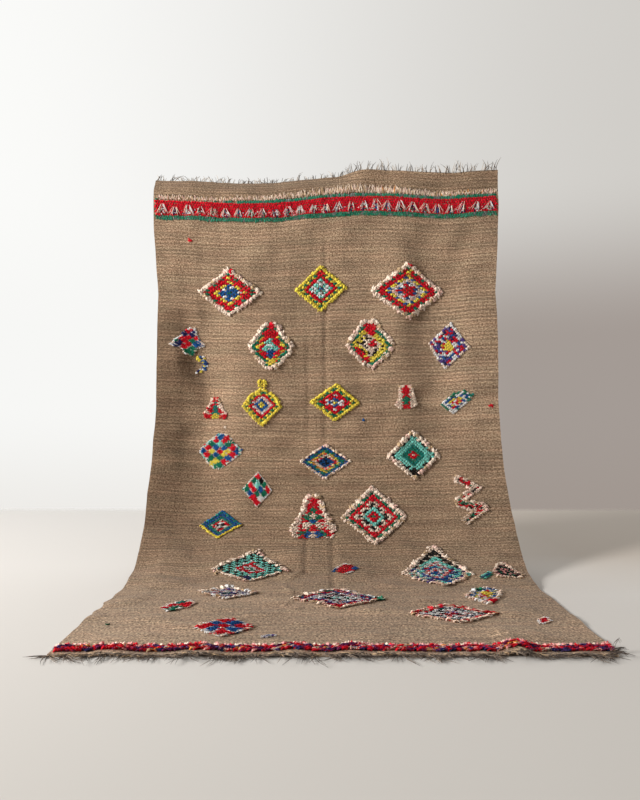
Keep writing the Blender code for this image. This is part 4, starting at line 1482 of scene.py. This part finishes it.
def corner_ends(thread, draws):
    """Warp ends that stand out sideways at the front right corner, the first few upright."""
    laid = []
    for number in range(CORNER_ENDS):
        upright = number < UPRIGHT_ENDS
        laid.append(laid_strand(Strand(
            END_REACH - draws.uniform(0.0, 0.022), RUG_LENGTH - draws.uniform(0.0, 0.030), "dark_end",
            0.024 if upright else draws.uniform(0.026, 0.058), 0.0013, turn=draws.uniform(-1.8, -1.0),
            curl=draws.uniform(-0.6, 0.6), rise=1.7 if upright else draws.uniform(0.0, 0.3), lift=0.002,
        ), thread))
    return laid


def front_ends(thread, draws):
    """All loose warp ends on the floor in front of the rug."""
    laid = matted_ends(thread, draws)
    laid += long_ends(thread, draws)
    return laid + corner_ends(thread, draws)


def dress_rug():
    """Every piece of the rug, each in the place of its solid."""
    draws = random.Random(SEED)
    weave = brown_weave()
    yarns = {name: pile_yarn(name) for name in YARNS}
    ground = cloth_piece("woven_cloth", 0, RUG_LENGTH, *CLOTH_GRID, WEAVE_THICKNESS, weave)
    finish_piece(ground, "woven_ground", "brown_weave")
    yarn_end = model_thread((1.15, 0.50))
    warp_end = model_thread((0.95, 0.80, 0.30))
    locks = {
        "full": [lock_of(yarn_end, FULL_LOCK_ENDS, draws) for _ in range(LOCK_VARIANTS)],
        "small": [lock_of(yarn_end, SMALL_LOCK_ENDS, draws) for _ in range(LOCK_VARIANTS)],
    }

    pieces = {}
    for motif in RINGED:
        pieces[motif.node] = [laid_tuft(tuft, locks, draws) for tuft in ringed_tufts(motif, draws)]
    for motif in CHEQUERED:
        pieces[motif.node] = [laid_tuft(tuft, locks, draws) for tuft in chequered_tufts(motif, draws)]
    green_line = [
        tuft for tuft in line_tufts(GREEN_LINE, 1, draws)
        if draws.random() < LINE_REST + line_share(tuft.across)
    ]
    green_border = line_tufts(GREEN_BORDER, 2, draws)
    pieces["cream_pile_strip"] = cream_strip(warp_end, draws)
    pieces["green_pile_line"] = [laid_tuft(tuft, locks, draws) for tuft in green_line]
    pieces["red_pile_band"] = red_band(locks, warp_end, draws)
    pieces["green_pile_border"] = [laid_tuft(tuft, locks, draws) for tuft in green_border]
    pieces["front_pile_band"] = front_band(locks, draws)
    slots = {motif.node: motif.slot for motif in RINGED + CHEQUERED} | BAND_SLOTS
    for node, laid in pieces.items():
        piece = laid_piece(node + "_locks", laid, yarns)
        finish_piece(piece, node, slots[node])

    marks = laid_piece("stray_marks", stray_marks(locks, draws), yarns)
    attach(marks, "root")

    strip = (STRIP_COLUMNS, 1, STRIP_THICKNESS, weave)
    top_strip = cloth_piece("top_end_strip", -STRIP_END, -STRIP_START, *strip)
    front_strip = cloth_piece("front_end_strip", RUG_LENGTH + STRIP_START, RUG_LENGTH + STRIP_END, *strip)
    top_threads = laid_piece("top_warp_ends", top_ends(warp_end, draws), yarns, TOP_LEVEL)
    front = front_ends(warp_end, draws)
    front_threads = laid_piece("front_warp_ends", front, yarns, FRONT_LEVEL, FRONT_FLOOR)
    for piece, node in (
        (top_strip, "top_fringe"), (top_threads, "top_fringe"),
        (front_strip, "front_fringe"), (front_threads, "front_fringe"),
    ):
        finish_piece(piece, node, "dark_warp")


def pale_floor():
    """A pale floor with painted shade towards the camera and a painted shadow of the rug, ending in a soft
    edge some way behind the rug.
    """
    deselect_all()
    bpy.ops.mesh.primitive_plane_add(size=1)
    floor = bpy.context.active_object
    floor.name = "pale_floor"
    floor.data.transform(Matrix.Translation(FLOOR_PLACE) @ Matrix.Diagonal((*FLOOR_SIZE, 1, 1)))
    material, tree, shader, add = new_material("pale_floor", {"Roughness": 0.75, "Specular IOR Level": 0.2})
    parts = add("SeparateXYZ", {"Vector": add("TexCoord").outputs["Object"]})

    def share_of(axis, stretch, **settings):
        links = {"Value": parts.outputs[axis], "From Min": stretch[0], "From Max": stretch[1]}
        return add("MapRange", links, **settings).outputs["Result"]

    tones = [(place, linear(colour)) for place, colour in FLOOR_TONES]
    # Darker towards the camera: painted shade
    tone = add_ramp(add, share_of("Y", FLOOR_DEPTH), tones)
    # A painted shadow of the rug, on the floor behind its right side
    shade = add_ramp(add, share_of("X", SHADE_SIDE), ((0.0, (1, 1, 1)), (1.0, FLOOR_SHADE)))
    links = {6: tone, 7: shade, 0: share_of("Y", SHADE_BEHIND)}
    darker = add("Mix", links, data_type="RGBA", blend_type="MULTIPLY").outputs[2]
    tree.links.new(darker, shader.inputs["Base Color"])
    fade = share_of("Y", FLOOR_EDGE, interpolation_type="SMOOTHSTEP")
    mixed = add("MixShader", {0: fade, 1: shader.outputs[0], 2: add("BsdfTransparent").outputs[0]})
    tree.links.new(mixed.outputs[0], tree.nodes["Material Output"].inputs["Surface"])
    floor.data.materials.append(material)


def soft_room():
    """Pale surroundings, bright behind the rug's left side, darker on its right, where the rug's shadow is
    painted, and towards the camera.
    """
    world = bpy.data.worlds.new("soft_room")
    bpy.context.scene.world = world
    world.use_nodes = True
    tree = world.node_tree
    add = node_adder(tree)
    parts = add("SeparateXYZ", {0: add("TexCoord").outputs["Generated"]})

    def tone(colour):
        return (*linear(colour), 1)

    def blend(axis, start, end, first, second):
        links = {"Value": parts.outputs[axis], "From Min": start, "From Max": end}
        share = add("MapRange", links, interpolation_type="SMOOTHSTEP").outputs["Result"]
        return add("Mix", {0: share, 6: first, 7: second}, data_type="RGBA").outputs[2]

    def side_to_side(part):
        return blend("X", part.start, part.end, tone(part.left), tone(part.right))

    behind = blend("Z", *HIGH_CHANGE, side_to_side(LOW_SURROUND), side_to_side(HIGH_SURROUND))
    behind = blend("Z", *FOOT_CHANGE, side_to_side(FOOT_SURROUND), behind)
    room = blend("Y", *NEAR_CHANGE, tone(NEAR_SURROUND), behind)
    background = tree.nodes["Background"]
    tree.links.new(room, background.inputs["Color"])
    background.inputs["Strength"].default_value = 1.0


def window_light():
    """Soft daylight from the left."""
    light = bpy.data.lights.new("window", "AREA")
    light.shape = "DISK"
    light.size = WINDOW_SIZE
    light.energy = WINDOW_POWER
    light.color = WINDOW_COLOUR
    lamp = bpy.data.objects.new("window", light)
    lamp.location = WINDOW_PLACE
    lamp.rotation_euler = (Vector(WINDOW_AIM) - Vector(WINDOW_PLACE)).to_track_quat("-Z", "Y").to_euler()
    bpy.context.scene.collection.objects.link(lamp)


def photograph_camera():
    """A level camera in front of the rug, shifted up a little."""
    camera = bpy.data.objects.new("camera", bpy.data.cameras.new("camera"))
    camera.data.lens = LENS
    camera.data.sensor_width = SENSOR_WIDTH
    camera.data.shift_y = UPWARD_SHIFT
    camera.location = CAMERA_PLACE
    camera.rotation_euler = (math.radians(90), 0, 0)
    bpy.context.scene.collection.objects.link(camera)
    bpy.context.scene.camera = camera


dress_rug()
pale_floor()
soft_room()
window_light()
photograph_camera()
bpy.context.scene.view_settings.view_transform = "Standard"
